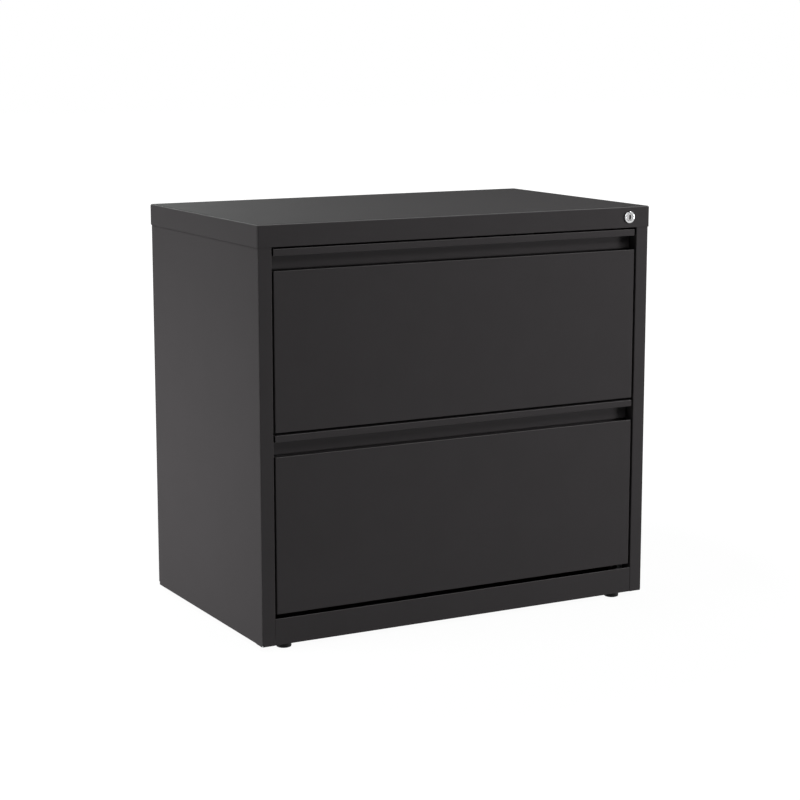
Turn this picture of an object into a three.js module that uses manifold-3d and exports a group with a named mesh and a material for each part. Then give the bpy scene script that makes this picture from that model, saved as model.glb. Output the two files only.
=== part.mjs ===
// A two-drawer lateral filing cabinet of folded sheet steel: a capped case on levelling glides, two drawers
// on telescoping ball slides, and a cylinder lock that lifts a locking bar.
// Millimetres, +Z up, the front faces -Y. The origin is on the floor, under the middle of the cabinet.
import * as THREE from "three";
import { mergeVertices } from "three/addons/utils/BufferGeometryUtils.js";
import Module from "manifold-3d";

const wasm = await Module();
wasm.setup();

// Overall sizes
const cabinetWidth = 762;
const cabinetHeight = 711;
const caseDepth = 457.2;

// Sheet metal and fits
const sheet = 1;
const seatGap = 0.3;
const capGap = 0.5;

// Case
const capHeight = 37;
const capLip = 10;
const stileWidth = 24.5;
const stileReturn = 25;
const sideRearFlange = 18;
const sideTopFlange = 18;
const sideBottomFlange = 22;
const footHeight = 10;
const baseRailHeight = 45.5;
const baseRailSetback = 0.2;
const baseRailTopFlange = 25;
const baseRailBottomFlange = 13;
const counterweightSize = { depth: 60, height: 25 };
const counterweightFromBack = 16;
const counterweightFromBoss = 22;
const uprightDepth = 30;
const rearUprightFromRailEnd = 50;

// Drawers
const drawerGap = { top: 3.5, between: 4.5, bottom: 7, side: 3.5 };
const drawerSetback = 1;
const faceReturn = 12;
const faceHem = 10;
const pullStripHeight = 11.5;
const pullRecessHeight = 24.5;
const pullRecessDepth = 17;
const pullToInnerFront = 4;
const fingerSlotDepth = 24;
const pullWeldFlange = 16;
const traySideDrop = 46;
const trayFloorRise = 10;
const trayBottomFlange = 10;
const trayTopHem = 6;
const trayRearClearance = 26;
const hangRailSheet = 1.2;
const hangRailDrop = 7;
const hangRailReach = 6.4;
const hangRailLip = 8;
const hangRailFoot = 12;

// Telescoping ball slides
const railSheet = 1.2;
const slideRise = 112;
const railFromTrayFront = 3.4;
const caseRailBehindStile = 0.2;
const caseRailHalfHeight = 23;
const caseRailLip = 3.2;
const drawerRailReach = 6.6;
const railClearOfTray = 2.5;
const cageSheet = 0.8;
const cageLength = 190;
const cageReach = 5.4;
const cageRunningGap = 0.7;
const ballRadius = 2;
const ballGap = 0.2;
const ballsInRow = 5;

// Lock
const lockInset = 43.5;
const lockProud = 2.5;
const lockFlangeRadius = 11;
const lockBarrelRadius = 8.5;
const lockBarrelLength = 24;
const lockPlugRadius = 6.5;
const lockPlugTail = 2;
const keyway = { width: 1.8, height: 8.5, depth: 18 };
const lockNut = { radius: 12, thickness: 4 };
const camSheet = 2;
const camHubRadius = 6;
const camThrow = 10;
const camPinRadius = 2;
const camStartAngle = -Math.PI / 4;
const camArmHalfWidth = 3;
const lockBarSheet = 2.5;
const lockBarWidth = 12;
const lockBarBehindStile = 8.5;
const lockBarBesideStile = 4;
const lockBarToUpright = 7;
const lockBarTail = 90;
const lockArmHalfHeight = 6;
const lockSlotSlack = 0.7;
const lockSlotEndWall = 3;
const hookHeight = 8;
const hookClearOfTray = 3.5;
const strikeDrop = 30;
const strikeHeight = 12;
const strikeClearOfStile = 3;
const strikeSheet = 1.5;
const strikeGap = 1.5;
const guideHeight = 16;
const guideWall = 2.5;
const guideAboveHook = 30;
const guideBelowHook = 56;

// Levelling glides
const glideInset = 49.5;
const glideFromFront = 22;
const glideFromBack = 25;
const glideFoot = { radius: 13, height: 8, chamfer: 2 };
const studRadius = 4;
const studTop = 36;
const bossRadius = 8;
const bossHeight = 16;

// Sides of round pieces
const roundSides = 24;
const postSides = 16;
const pinSides = 12;
const hexagonSides = 6;
const ballSides = { around: 6, down: 4 };

// Places worked out from the sizes above
const capHalfWidth = cabinetWidth / 2;
const capFrontY = (lockProud - caseDepth) / 2;
const capBackY = capFrontY + caseDepth;
const caseHalfWidth = capHalfWidth - sheet - capGap;
const stileFrontY = capFrontY + sheet + capGap;
const caseBackY = capBackY - sheet - capGap;
const openingHalfWidth = caseHalfWidth - stileWidth;
const wallInside = caseHalfWidth - sheet;
const capBottomZ = cabinetHeight - capHeight;
const sideTopZ = cabinetHeight - sheet - seatGap;
const baseTopZ = footHeight + baseRailHeight;
const panZ = footHeight + sheet + seatGap;
const panTopZ = panZ + sheet;
const behindStileY = stileFrontY + stileReturn;
const backPanelY = caseBackY - sheet - seatGap - sheet;

const drawerFaceY = stileFrontY + drawerSetback;
const drawerHalfWidth = openingHalfWidth - drawerGap.side;
const drawerHeight =
  (capBottomZ - drawerGap.top - drawerGap.between - drawerGap.bottom - baseTopZ) / 2;
const lowerDrawerZ = baseTopZ + drawerGap.bottom;
const upperDrawerZ = lowerDrawerZ + drawerHeight + drawerGap.between;
const faceHeight = drawerHeight - pullStripHeight - pullRecessHeight;
const drawerFrontDepth = pullRecessDepth + sheet + pullToInnerFront;
const innerFrontY = drawerFrontDepth + seatGap;
const trayStart = innerFrontY + sheet + seatGap;
const trayDepth = backPanelY - trayRearClearance - drawerFaceY - trayStart;
const trayEnd = trayStart + trayDepth;
const traySideHeight = drawerHeight - traySideDrop;

const cageRoom = cageSheet + 2 * cageRunningGap;
const ballRoom = 2 * (ballRadius + ballGap);
const caseRailX = openingHalfWidth + caseRailBehindStile;
const middleRailX = caseRailX - railSheet - cageRoom;
const drawerRailX = middleRailX - railSheet - cageRoom - drawerRailReach;
const traySideX = drawerRailX - seatGap;
const railTipX = traySideX + railClearOfTray;
const middleRailHalfHeight = caseRailHalfHeight - railSheet - ballRoom;
const drawerRailHalfHeight = middleRailHalfHeight - railSheet - ballRoom;
const railStart = trayStart + railFromTrayFront;
const railLength = trayEnd - railStart;

const lockX = capHalfWidth - lockInset;
const lockZ = cabinetHeight - capHeight / 2;
const lockBarY = behindStileY + lockBarBehindStile;
const lockBarX = openingHalfWidth + lockBarBesideStile;
const strikeRise = traySideHeight - strikeDrop - strikeHeight;
const hookRise = strikeRise - strikeGap - hookHeight;
const uprightX = caseRailX + seatGap;
const frontUprightY = lockBarY + lockBarSheet + lockBarToUpright;
const rearUprightY = drawerFaceY + trayEnd - rearUprightFromRailEnd;
const camPin = {
  x: lockX + camThrow * Math.cos(camStartAngle),
  z: lockZ + camThrow * Math.sin(camStartAngle),
};

// Finishes
const charcoalPaint = new THREE.MeshStandardMaterial({ color: 0x454345, roughness: 0.55, metalness: 0.1 });
const zincPlate = new THREE.MeshStandardMaterial({ color: 0xb4b6b8, roughness: 0.35, metalness: 0.9 });
const polishedChrome = new THREE.MeshStandardMaterial({ color: 0xd8d8da, roughness: 0.12, metalness: 1 });
const blackNylon = new THREE.MeshStandardMaterial({ color: 0x111112, roughness: 0.6, metalness: 0 });
const rawSteel = new THREE.MeshStandardMaterial({ color: 0x55575a, roughness: 0.6, metalness: 0.8 });

// Solids

function solidOf(geometry) {
  const bare = geometry.clone();
  bare.deleteAttribute("normal");
  bare.deleteAttribute("uv");
  const merged = mergeVertices(bare);
  const mesh = new wasm.Mesh({
    numProp: 3,
    vertProperties: merged.attributes.position.array,
    triVerts: new Uint32Array(merged.index.array),
  });
  return new wasm.Manifold(mesh);
}

function geometryOf(solid) {
  const mesh = solid.getMesh();
  const geometry = new THREE.BufferGeometry();
  geometry.setAttribute("position", new THREE.BufferAttribute(mesh.vertProperties, 3));
  geometry.setIndex(new THREE.BufferAttribute(mesh.triVerts, 1));
  return geometry;
}

function join(...geometries) {
  return geometryOf(geometries.map(solidOf).reduce((whole, piece) => whole.add(piece)));
}

function cut(geometry, ...tools) {
  return geometryOf(tools.map(solidOf).reduce((whole, tool) => whole.subtract(tool), solidOf(geometry)));
}

function block(x, y, z) {
  const geometry = new THREE.BoxGeometry(x[1] - x[0], y[1] - y[0], z[1] - z[0]);
  return geometry.translate((x[0] + x[1]) / 2, (y[0] + y[1]) / 2, (z[0] + z[1]) / 2);
}

// An outline in the plane across an axis, drawn along that axis. The outline's pairs are (y, z) for axis x,
// (x, z) for axis y and (x, y) for axis z.
function drawn(axis, outline, from, to) {
  const shape = new THREE.Shape(outline.map(([a, b]) => new THREE.Vector2(a, b)));
  const geometry = new THREE.ExtrudeGeometry(shape, { depth: to - from, bevelEnabled: false });
  if (axis === "z") return geometry.translate(0, 0, from);
  if (axis === "y") return geometry.rotateX(Math.PI / 2).translate(0, to, 0);
  const yzx = new THREE.Matrix4().makeBasis(
    new THREE.Vector3(0, 1, 0),
    new THREE.Vector3(0, 0, 1),
    new THREE.Vector3(1, 0, 0),
  );
  return geometry.applyMatrix4(yzx).translate(from, 0, 0);
}

// The closed outline of a folded sheet: its outer line, and that line moved to its left by the thickness.
function folded(line, thickness) {
  const points = line.map(([a, b]) => new THREE.Vector2(a, b));
  const leftOf = (from, to) => {
    const along = to.clone().sub(from).normalize();
    return new THREE.Vector2(-along.y, along.x);
  };
  const inner = points.map((point, i) => {
    const before = leftOf(points[Math.max(i - 1, 0)], points[Math.max(i, 1)]);
    const after = leftOf(points[Math.min(i, points.length - 2)], points[Math.min(i + 1, points.length - 1)]);
    const mitre = before.clone().add(after);
    return point.clone().addScaledVector(mitre, (2 * thickness) / mitre.lengthSq());
  });
  return [...points, ...inner.reverse()].map((point) => [point.x, point.y]);
}

// A round bar along Y, from one place to another.
function roundBar(radius, x, z, from, to, sides = roundSides) {
  const geometry = new THREE.CylinderGeometry(radius, radius, to - from, sides);
  return geometry.translate(x, (from + to) / 2, z);
}

// A round bar along Z.
function roundPost(radius, x, y, from, to) {
  const geometry = new THREE.CylinderGeometry(radius, radius, to - from, postSides).rotateX(Math.PI / 2);
  return geometry.translate(x, y, (from + to) / 2);
}

// The scene graph

const cabinet = new THREE.Group();

function place(parent, name, geometry, material) {
  const mesh = new THREE.Mesh(geometry, material.clone());
  mesh.name = name;
  parent.add(mesh);
  return mesh;
}

// A right-hand piece and its mirror image on the left.
function placePair(parent, name, geometry, material) {
  place(parent, name("right"), geometry, material);
  place(parent, name("left"), geometry, material).scale.x = -1;
}

// Case panels

function sidePanel() {
  const wrap = [
    [openingHalfWidth, behindStileY],
    [openingHalfWidth, stileFrontY],
    [caseHalfWidth, stileFrontY],
    [caseHalfWidth, caseBackY],
    [caseHalfWidth - sideRearFlange, caseBackY],
  ];
  const flangeY = [behindStileY + sheet, caseBackY - sheet / 2];
  const topX = [caseHalfWidth - sideTopFlange, caseHalfWidth - sheet / 2];
  const bottomX = [caseHalfWidth - sideBottomFlange, caseHalfWidth - sheet / 2];
  return join(
    drawn("z", folded(wrap, sheet), footHeight, sideTopZ),
    block(topX, flangeY, [sideTopZ - sheet, sideTopZ]),
    block(bottomX, flangeY, [footHeight, footHeight + sheet]),
  );
}

function backPanel() {
  const halfWidth = wallInside - seatGap;
  const z = [panZ, sideTopZ - sheet - seatGap];
  return block([-halfWidth, halfWidth], [backPanelY, backPanelY + sheet], z);
}

function topCap() {
  const lipHalfWidth = openingHalfWidth - seatGap;
  const shell = cut(
    block([-capHalfWidth, capHalfWidth], [capFrontY, capBackY], [capBottomZ, cabinetHeight]),
    block(
      [sheet - capHalfWidth, capHalfWidth - sheet],
      [capFrontY + sheet, capBackY - sheet],
      [capBottomZ - sheet, cabinetHeight - sheet],
    ),
  );
  const lip = block(
    [-lipHalfWidth, lipHalfWidth],
    [capFrontY + sheet / 2, capFrontY + capLip],
    [capBottomZ, capBottomZ + sheet],
  );
  const holeRadius = lockBarrelRadius + seatGap;
  const lockHole = roundBar(holeRadius, lockX, lockZ, capFrontY - sheet, capFrontY + 2 * sheet);
  return cut(join(shell, lip), lockHole);
}

function baseRail() {
  const faceY = stileFrontY + baseRailSetback;
  const halfWidth = openingHalfWidth - seatGap;
  const channel = [
    [faceY + baseRailTopFlange, baseTopZ],
    [faceY, baseTopZ],
    [faceY, footHeight],
    [faceY + baseRailBottomFlange, footHeight],
  ];
  return drawn("x", folded(channel, sheet), -halfWidth, halfWidth);
}

const glidePlaces = [
  { end: "front", y: stileFrontY + glideFromFront },
  { end: "rear", y: caseBackY - glideFromBack },
];
const glideX = caseHalfWidth - glideInset;

// The floor of the case, notched round the stiles, with a threaded boss for each glide.
function basePan() {
  const front = { x: openingHalfWidth - seatGap, y: stileFrontY + 2 * sheet };
  const rear = { x: wallInside - seatGap, y: backPanelY - seatGap };
  const notchY = behindStileY + sheet;
  const outline = [
    [-front.x, front.y],
    [front.x, front.y],
    [front.x, notchY],
    [rear.x, notchY],
    [rear.x, rear.y],
    [-rear.x, rear.y],
    [-rear.x, notchY],
    [-front.x, notchY],
  ];
  const bosses = [];
  const bores = [];
  for (const { y } of glidePlaces) {
    for (const x of [-glideX, glideX]) {
      bosses.push(roundPost(bossRadius, x, y, panZ, panTopZ + bossHeight));
      bores.push(roundPost(studRadius + seatGap, x, y, panZ - sheet, panTopZ + bossHeight + sheet));
    }
  }
  return cut(join(drawn("z", outline, panZ, panTopZ), ...bosses), ...bores);
}

function counterweight() {
  const { depth, height } = counterweightSize;
  const halfWidth = glideX - bossRadius - counterweightFromBoss;
  const backY = backPanelY - counterweightFromBack;
  const z = panTopZ + seatGap;
  return block([-halfWidth, halfWidth], [backY - depth, backY], [z, z + height]);
}

// An upright channel, open towards the side panel that it is welded to.
function upright(frontY) {
  const channel = [
    [wallInside - seatGap, frontY + uprightDepth],
    [uprightX, frontY + uprightDepth],
    [uprightX, frontY],
    [wallInside - seatGap, frontY],
  ];
  return drawn("z", folded(channel, sheet), panTopZ + seatGap, sideTopZ - sheet - seatGap);
}

place(cabinet, "top_cap", topCap(), charcoalPaint);
placePair(cabinet, (side) => `${side}_side_panel`, sidePanel(), charcoalPaint);
place(cabinet, "back_panel", backPanel(), charcoalPaint);
place(cabinet, "base_front_rail", baseRail(), charcoalPaint);
place(cabinet, "base_pan", basePan(), charcoalPaint);
place(cabinet, "counterweight", counterweight(), rawSteel);
placePair(cabinet, (side) => `${side}_front_upright`, upright(frontUprightY), zincPlate);
placePair(cabinet, (side) => `${side}_rear_upright`, upright(rearUprightY), zincPlate);

// Levelling glides: a nylon foot moulded on a steel stud

function glide() {
  const { radius, height, chamfer } = glideFoot;
  const profile = [
    [0, 0],
    [radius - chamfer, 0],
    [radius, chamfer],
    [radius, height - chamfer / 2],
    [radius - chamfer / 2, height],
    [studRadius, height],
    [studRadius, studTop],
    [0, studTop],
  ];
  const points = profile.map(([r, z]) => new THREE.Vector2(r, z));
  return new THREE.LatheGeometry(points, roundSides).rotateX(Math.PI / 2);
}

for (const { end, y } of glidePlaces) {
  for (const [side, x] of [["left", -glideX], ["right", glideX]]) {
    place(cabinet, `${end}_${side}_glide`, glide(), blackNylon).position.set(x, y, 0);
  }
}

// Slide members, drawn for the right side about the slide's middle, from the drawer's face

function caseRailSection() {
  const line = [
    [railTipX, caseRailLip - caseRailHalfHeight],
    [railTipX, -caseRailHalfHeight],
    [caseRailX, -caseRailHalfHeight],
    [caseRailX, caseRailHalfHeight],
    [railTipX, caseRailHalfHeight],
    [railTipX, caseRailHalfHeight - caseRailLip],
  ];
  return folded(line, railSheet);
}

function middleRailSection() {
  const line = [
    [railTipX, -middleRailHalfHeight],
    [middleRailX, -middleRailHalfHeight],
    [middleRailX, middleRailHalfHeight],
    [railTipX, middleRailHalfHeight],
  ];
  return folded(line, railSheet);
}

function drawerRailSection() {
  const line = [
    [drawerRailX + drawerRailReach, drawerRailHalfHeight],
    [drawerRailX, drawerRailHalfHeight],
    [drawerRailX, -drawerRailHalfHeight],
    [drawerRailX + drawerRailReach, -drawerRailHalfHeight],
  ];
  return folded(line, railSheet);
}

// A ball cage between two rails: a web, an ear along each race, and the balls caught in the ears.
function ballCage(webX, raceHeight) {
  const start = railStart + (railLength - cageLength) / 2;
  const section = [
    [webX - cageReach, -raceHeight - cageSheet / 2],
    [webX, -raceHeight - cageSheet / 2],
    [webX, raceHeight + cageSheet / 2],
    [webX - cageReach, raceHeight + cageSheet / 2],
  ];
  const pieces = [drawn("y", folded(section, cageSheet), start, start + cageLength)];
  const ballStep = cageLength / ballsInRow;
  for (let i = 0; i < ballsInRow; i++) {
    for (const z of [-raceHeight, raceHeight]) {
      const ball = new THREE.SphereGeometry(ballRadius, ballSides.around, ballSides.down);
      pieces.push(ball.translate(webX - cageReach + ballRadius, start + (i + 0.5) * ballStep, z));
    }
  }
  return join(...pieces);
}

function slideMembers(parent, level) {
  const slides = new THREE.Group();
  slides.position.z = slideRise;
  parent.add(slides);
  const along = [railStart, railStart + railLength];
  const outerRace = middleRailHalfHeight + ballRoom / 2;
  const innerRace = drawerRailHalfHeight + ballRoom / 2;
  const outerWebX = caseRailX - railSheet - cageRunningGap;
  const innerWebX = middleRailX - railSheet - cageRunningGap;
  const member = (name, geometry, material) =>
    placePair(slides, (side) => `${level}_${side}_${name}`, geometry, material);
  member("case_rail", drawn("y", caseRailSection(), ...along), zincPlate);
  member("middle_rail", drawn("y", middleRailSection(), ...along), zincPlate);
  member("drawer_rail", drawn("y", drawerRailSection(), ...along), zincPlate);
  member("outer_ball_cage", ballCage(outerWebX, outerRace), polishedChrome);
  member("inner_ball_cage", ballCage(innerWebX, innerRace), polishedChrome);
}

// Drawer pieces, from the front of the drawer's face and the bottom of the drawer

function drawerFace() {
  const wrap = [
    [-drawerHalfWidth, faceReturn],
    [-drawerHalfWidth, 0],
    [drawerHalfWidth, 0],
    [drawerHalfWidth, faceReturn],
  ];
  const inside = drawerHalfWidth - sheet / 2;
  const hemX = drawerHalfWidth - sheet - seatGap;
  return join(
    drawn("z", folded(wrap, sheet), 0, faceHeight),
    block([-inside, inside], [sheet / 2, faceReturn], [0, sheet]),
    block([-hemX, hemX], [sheet / 2, 2 * sheet], [faceHeight - faceHem, faceHeight]),
  );
}

// One strip of steel: the drawer's top, the grip strip, the recess behind it, and the finger slot. Its ends
// are notched to go between the face's returns.
function drawerPull() {
  const stripZ = drawerHeight - pullStripHeight;
  const slotZ = faceHeight - fingerSlotDepth;
  const weldY = 2 * sheet + seatGap;
  const line = [
    [drawerFrontDepth, drawerHeight],
    [0, drawerHeight],
    [0, stripZ],
    [pullRecessDepth, stripZ],
    [pullRecessDepth, slotZ],
    [weldY, slotZ],
    [weldY, slotZ - pullWeldFlange],
  ];
  const strip = drawn("x", folded(line, sheet), -drawerHalfWidth, drawerHalfWidth);
  const notches = [1, -1].map((side) => {
    const ends = [drawerHalfWidth - sheet - seatGap, drawerHalfWidth + sheet].map((x) => side * x);
    return block(
      ends.sort((a, b) => a - b),
      [0, drawerFrontDepth],
      [slotZ - pullWeldFlange - sheet, faceHeight + seatGap],
    );
  });
  return cut(strip, ...notches);
}

function innerFront() {
  const halfWidth = drawerHalfWidth - sheet - seatGap;
  const bottomZ = sheet + seatGap;
  const flangeY = [faceReturn / 2, innerFrontY + sheet / 2];
  const flangeTop = faceHeight - fingerSlotDepth - pullWeldFlange - sheet - seatGap;
  const wall = block([-halfWidth, halfWidth], [innerFrontY, innerFrontY + sheet], [bottomZ, drawerHeight]);
  return join(
    wall,
    block([halfWidth - sheet, halfWidth], flangeY, [bottomZ, flangeTop]),
    block([-halfWidth, sheet - halfWidth], flangeY, [bottomZ, flangeTop]),
    block([-halfWidth, halfWidth], flangeY, [bottomZ, bottomZ + sheet]),
  );
}

function traySide() {
  const line = [
    [traySideX - trayBottomFlange, trayFloorRise],
    [traySideX, trayFloorRise],
    [traySideX, traySideHeight],
    [traySideX - trayTopHem, traySideHeight],
  ];
  return drawn("y", folded(line, sheet), trayStart, trayEnd);
}

// The right side also has the tab that the lock bar's hook stops.
function lockedTraySide() {
  const strikeY = lockBarY + lockBarSheet + strikeGap - drawerFaceY;
  const strike = block(
    [traySideX - sheet / 2, openingHalfWidth - strikeClearOfStile],
    [strikeY, strikeY + strikeSheet],
    [strikeRise, strikeRise + strikeHeight],
  );
  return join(traySide(), strike);
}

function trayBottom() {
  const halfWidth = traySideX - sheet - seatGap;
  const z = trayFloorRise + sheet + seatGap;
  return block([-halfWidth, halfWidth], [trayStart, trayEnd], [z, z + sheet]);
}

function trayBack() {
  const y = trayEnd + seatGap;
  return block([-traySideX, traySideX], [y, y + sheet], [trayFloorRise, traySideHeight]);
}

// A hanger rail from wall to wall. Its foot lies on the wall at footY, and its lip stands off towards the
// middle.
function hangRail(footY, towards) {
  const top = traySideHeight - hangRailDrop;
  const halfWidth = traySideX - sheet - seatGap;
  const shelf = top - hangRailLip;
  const line = [
    [footY, shelf - hangRailFoot],
    [footY, shelf],
    [footY + towards * hangRailReach, shelf],
    [footY + towards * hangRailReach, top],
  ];
  return drawn("x", folded(line, -towards * hangRailSheet), -halfWidth, halfWidth);
}

function makeDrawer(level, z) {
  const drawer = new THREE.Group();
  drawer.position.set(0, drawerFaceY, z);
  cabinet.add(drawer);
  const piece = (name, geometry) => place(drawer, `${level}_${name}`, geometry, charcoalPaint);
  piece("drawer_face", drawerFace());
  piece("drawer_pull", drawerPull());
  piece("drawer_inner_front", innerFront());
  piece("drawer_right_side", lockedTraySide());
  piece("drawer_left_side", traySide()).scale.x = -1;
  piece("drawer_bottom", trayBottom());
  piece("drawer_back", trayBack());
  piece("front_hang_rail", hangRail(trayStart, 1));
  piece("rear_hang_rail", hangRail(trayEnd, -1));
  slideMembers(drawer, level);
}

makeDrawer("upper", upperDrawerZ);
makeDrawer("lower", lowerDrawerZ);

// Lock, along Y from the front of the cap

function ring(profile) {
  const points = [...profile, profile[0]].map(([r, y]) => new THREE.Vector2(r, y));
  return new THREE.LatheGeometry(points, roundSides);
}

function lockHousing() {
  const bore = lockPlugRadius + seatGap;
  const profile = [
    [bore, -lockProud],
    [lockFlangeRadius - sheet, -lockProud],
    [lockFlangeRadius, sheet - lockProud],
    [lockFlangeRadius, -seatGap],
    [lockBarrelRadius, -seatGap],
    [lockBarrelRadius, lockBarrelLength],
    [bore, lockBarrelLength],
  ];
  return ring(profile);
}

function lockRetainingNut() {
  const y = [sheet + seatGap, sheet + seatGap + lockNut.thickness];
  const hexagon = roundBar(lockNut.radius, 0, 0, ...y, hexagonSides);
  return cut(hexagon, roundBar(lockBarrelRadius + seatGap, 0, 0, y[0] - sheet, y[1] + sheet));
}

const plugEnd = lockBarrelLength + lockPlugTail;

function lockPlug() {
  const frontY = seatGap - lockProud;
  const slotX = [-keyway.width / 2, keyway.width / 2];
  const slotZ = [-keyway.height / 2, keyway.height / 2];
  const slot = block(slotX, [frontY - sheet, frontY + keyway.depth], slotZ);
  return cut(roundBar(lockPlugRadius, 0, 0, frontY, plugEnd), slot);
}

// The cam on the plug's tail, with the pin that lifts the bar.
function lockCam() {
  const y = [plugEnd + seatGap, plugEnd + seatGap + camSheet];
  const pinEnd = lockBarY + lockBarSheet + camPinRadius - capFrontY;
  const arm = block([0, camThrow], y, [-camArmHalfWidth, camArmHalfWidth]).rotateY(-camStartAngle);
  const pinX = camPin.x - lockX;
  const pinZ = camPin.z - lockZ;
  return join(
    roundBar(camHubRadius, 0, 0, ...y, postSides),
    arm,
    roundBar(camArmHalfWidth, pinX, pinZ, ...y, postSides),
    roundBar(camPinRadius, pinX, pinZ, y[0], pinEnd, pinSides),
  );
}

const lock = new THREE.Group();
lock.position.set(lockX, capFrontY, lockZ);
cabinet.add(lock);
place(lock, "lock_housing", lockHousing(), polishedChrome);
place(lock, "lock_nut", lockRetainingNut(), zincPlate);
place(lock, "lock_plug", lockPlug(), polishedChrome);
place(lock, "lock_cam", lockCam(), zincPlate);

// Locking bar: a flat plate with a slotted arm for the cam's pin and a hook for each drawer

function lockBar() {
  const y = [lockBarY, lockBarY + lockBarSheet];
  const stripX = [lockBarX, lockBarX + lockBarWidth];
  const armZ = [camPin.z - lockArmHalfHeight, camPin.z + lockArmHalfHeight];
  const slotX = [camPin.x - camPinRadius - lockSlotSlack, lockX + camThrow + camPinRadius + lockSlotSlack];
  const slotHalf = camPinRadius + lockSlotSlack;
  const armX = [slotX[0] - lockSlotEndWall, stripX[1]];
  const bottomZ = lowerDrawerZ + hookRise - lockBarTail;
  const hooks = [lowerDrawerZ, upperDrawerZ].map((z) =>
    block([traySideX + hookClearOfTray, stripX[1]], y, [z + hookRise, z + hookRise + hookHeight]),
  );
  const slot = block(slotX, [y[0] - sheet, y[1] + sheet], [camPin.z - slotHalf, camPin.z + slotHalf]);
  return cut(join(block(stripX, y, [bottomZ, armZ[1]]), block(armX, y, armZ), ...hooks), slot);
}

// A nylon keeper round the bar, seated on the front upright.
function lockBarGuide(z) {
  const slotX = [lockBarX - seatGap, lockBarX + lockBarWidth + seatGap];
  const slotY = [lockBarY - seatGap, lockBarY + lockBarSheet + seatGap];
  const height = [z, z + guideHeight];
  const body = block(
    [slotX[0] - guideWall, slotX[1] + guideWall],
    [slotY[0] - guideWall, frontUprightY - seatGap],
    height,
  );
  return cut(body, block(slotX, slotY, [height[0] - sheet, height[1] + sheet]));
}

place(cabinet, "lock_bar", lockBar(), zincPlate);
const upperGuideZ = upperDrawerZ + hookRise + hookHeight + guideAboveHook;
const lowerGuideZ = lowerDrawerZ + hookRise - guideBelowHook;
place(cabinet, "upper_lock_bar_guide", lockBarGuide(upperGuideZ), blackNylon);
place(cabinet, "lower_lock_bar_guide", lockBarGuide(lowerGuideZ), blackNylon);

export default cabinet;
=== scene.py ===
import math

import bmesh
import bpy
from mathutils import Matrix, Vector


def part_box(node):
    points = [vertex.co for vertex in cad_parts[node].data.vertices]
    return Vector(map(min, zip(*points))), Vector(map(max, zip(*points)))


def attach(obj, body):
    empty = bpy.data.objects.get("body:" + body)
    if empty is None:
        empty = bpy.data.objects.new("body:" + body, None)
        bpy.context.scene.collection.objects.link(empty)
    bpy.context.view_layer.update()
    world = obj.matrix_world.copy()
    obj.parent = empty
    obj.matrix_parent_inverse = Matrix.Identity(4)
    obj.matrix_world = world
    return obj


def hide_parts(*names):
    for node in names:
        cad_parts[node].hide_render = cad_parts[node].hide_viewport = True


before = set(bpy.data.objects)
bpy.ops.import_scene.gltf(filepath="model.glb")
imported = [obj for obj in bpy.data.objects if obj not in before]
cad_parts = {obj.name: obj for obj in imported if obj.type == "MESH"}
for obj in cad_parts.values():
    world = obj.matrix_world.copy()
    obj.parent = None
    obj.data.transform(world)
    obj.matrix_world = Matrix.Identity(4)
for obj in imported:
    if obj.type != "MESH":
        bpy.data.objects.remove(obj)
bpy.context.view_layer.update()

mm = 0.001
near = 0.02 * mm  # places closer than this are the same place
quarterTurn = math.pi / 2
sides = {"left": -1, "right": 1}
levels = ("upper", "lower")
lockLow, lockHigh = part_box("lock_housing")
lockMiddle = (lockLow + lockHigh) / 2
lockMiddle.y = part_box("top_cap")[0].y  # on the cap's front
print("frame: loaded", len(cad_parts), "nodes")


# Modelling by hand, in small steps

def deselectAll():
    bpy.ops.object.select_all(action="DESELECT")


def makeActive(piece):
    deselectAll()
    piece.select_set(True)
    bpy.context.view_layer.objects.active = piece


def named(name):  # gives the new object its name
    piece = bpy.context.object
    piece.name = piece.data.name = name
    return piece


def editOn(piece, pick="EDGE"):
    makeActive(piece)
    bpy.ops.object.mode_set(mode="EDIT")
    bpy.ops.mesh.select_mode(type=pick)
    bpy.ops.mesh.select_all(action="DESELECT")


def editOff():
    bpy.ops.object.mode_set(mode="OBJECT")


def lies(point, place):  # place holds x, y or z, each as one number or a (low, high) pair
    for axis, wanted in place.items():
        low, high = wanted if isinstance(wanted, tuple) else (wanted, wanted)
        if not low - near <= getattr(point, axis) <= high + near:
            return False
    return True


def pickParts(parts, places):
    mesh = bmesh.from_edit_mesh(bpy.context.object.data)
    for part in getattr(mesh, parts):
        wanted = any(all(lies(v.co, place) for v in part.verts) for place in places)
        part.select_set(wanted)
    mesh.select_flush_mode()
    bmesh.update_edit_mesh(bpy.context.object.data)


def pickEdges(*places):
    bpy.ops.mesh.select_mode(type="EDGE")
    bpy.ops.mesh.select_all(action="DESELECT")
    pickParts("edges", places)


def pickFaces(*places):
    bpy.ops.mesh.select_mode(type="FACE")
    bpy.ops.mesh.select_all(action="DESELECT")
    pickParts("faces", places)


def addSheet(name, x, y, z, faces=1):  # a flat sheet that faces along the axis given as one number
    spans = (x, y, z)
    flat = [isinstance(span, tuple) for span in spans].index(False)
    middle = [sum(span) / 2 if isinstance(span, tuple) else span for span in spans]
    size = [span[1] - span[0] if isinstance(span, tuple) else 0 for span in spans]
    turns = ((0, faces * quarterTurn, 0), (-faces * quarterTurn, 0, 0), ((1 - faces) * quarterTurn, 0, 0))
    deselectAll()
    bpy.ops.mesh.primitive_plane_add(size=1, location=middle, rotation=turns[flat])
    sheet = named(name)
    sheet.scale = ((size[2], size[1], 1), (size[0], size[2], 1), (size[0], size[1], 1))[flat]
    bpy.ops.object.transform_apply(location=True, rotation=True, scale=True)
    return sheet


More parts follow.
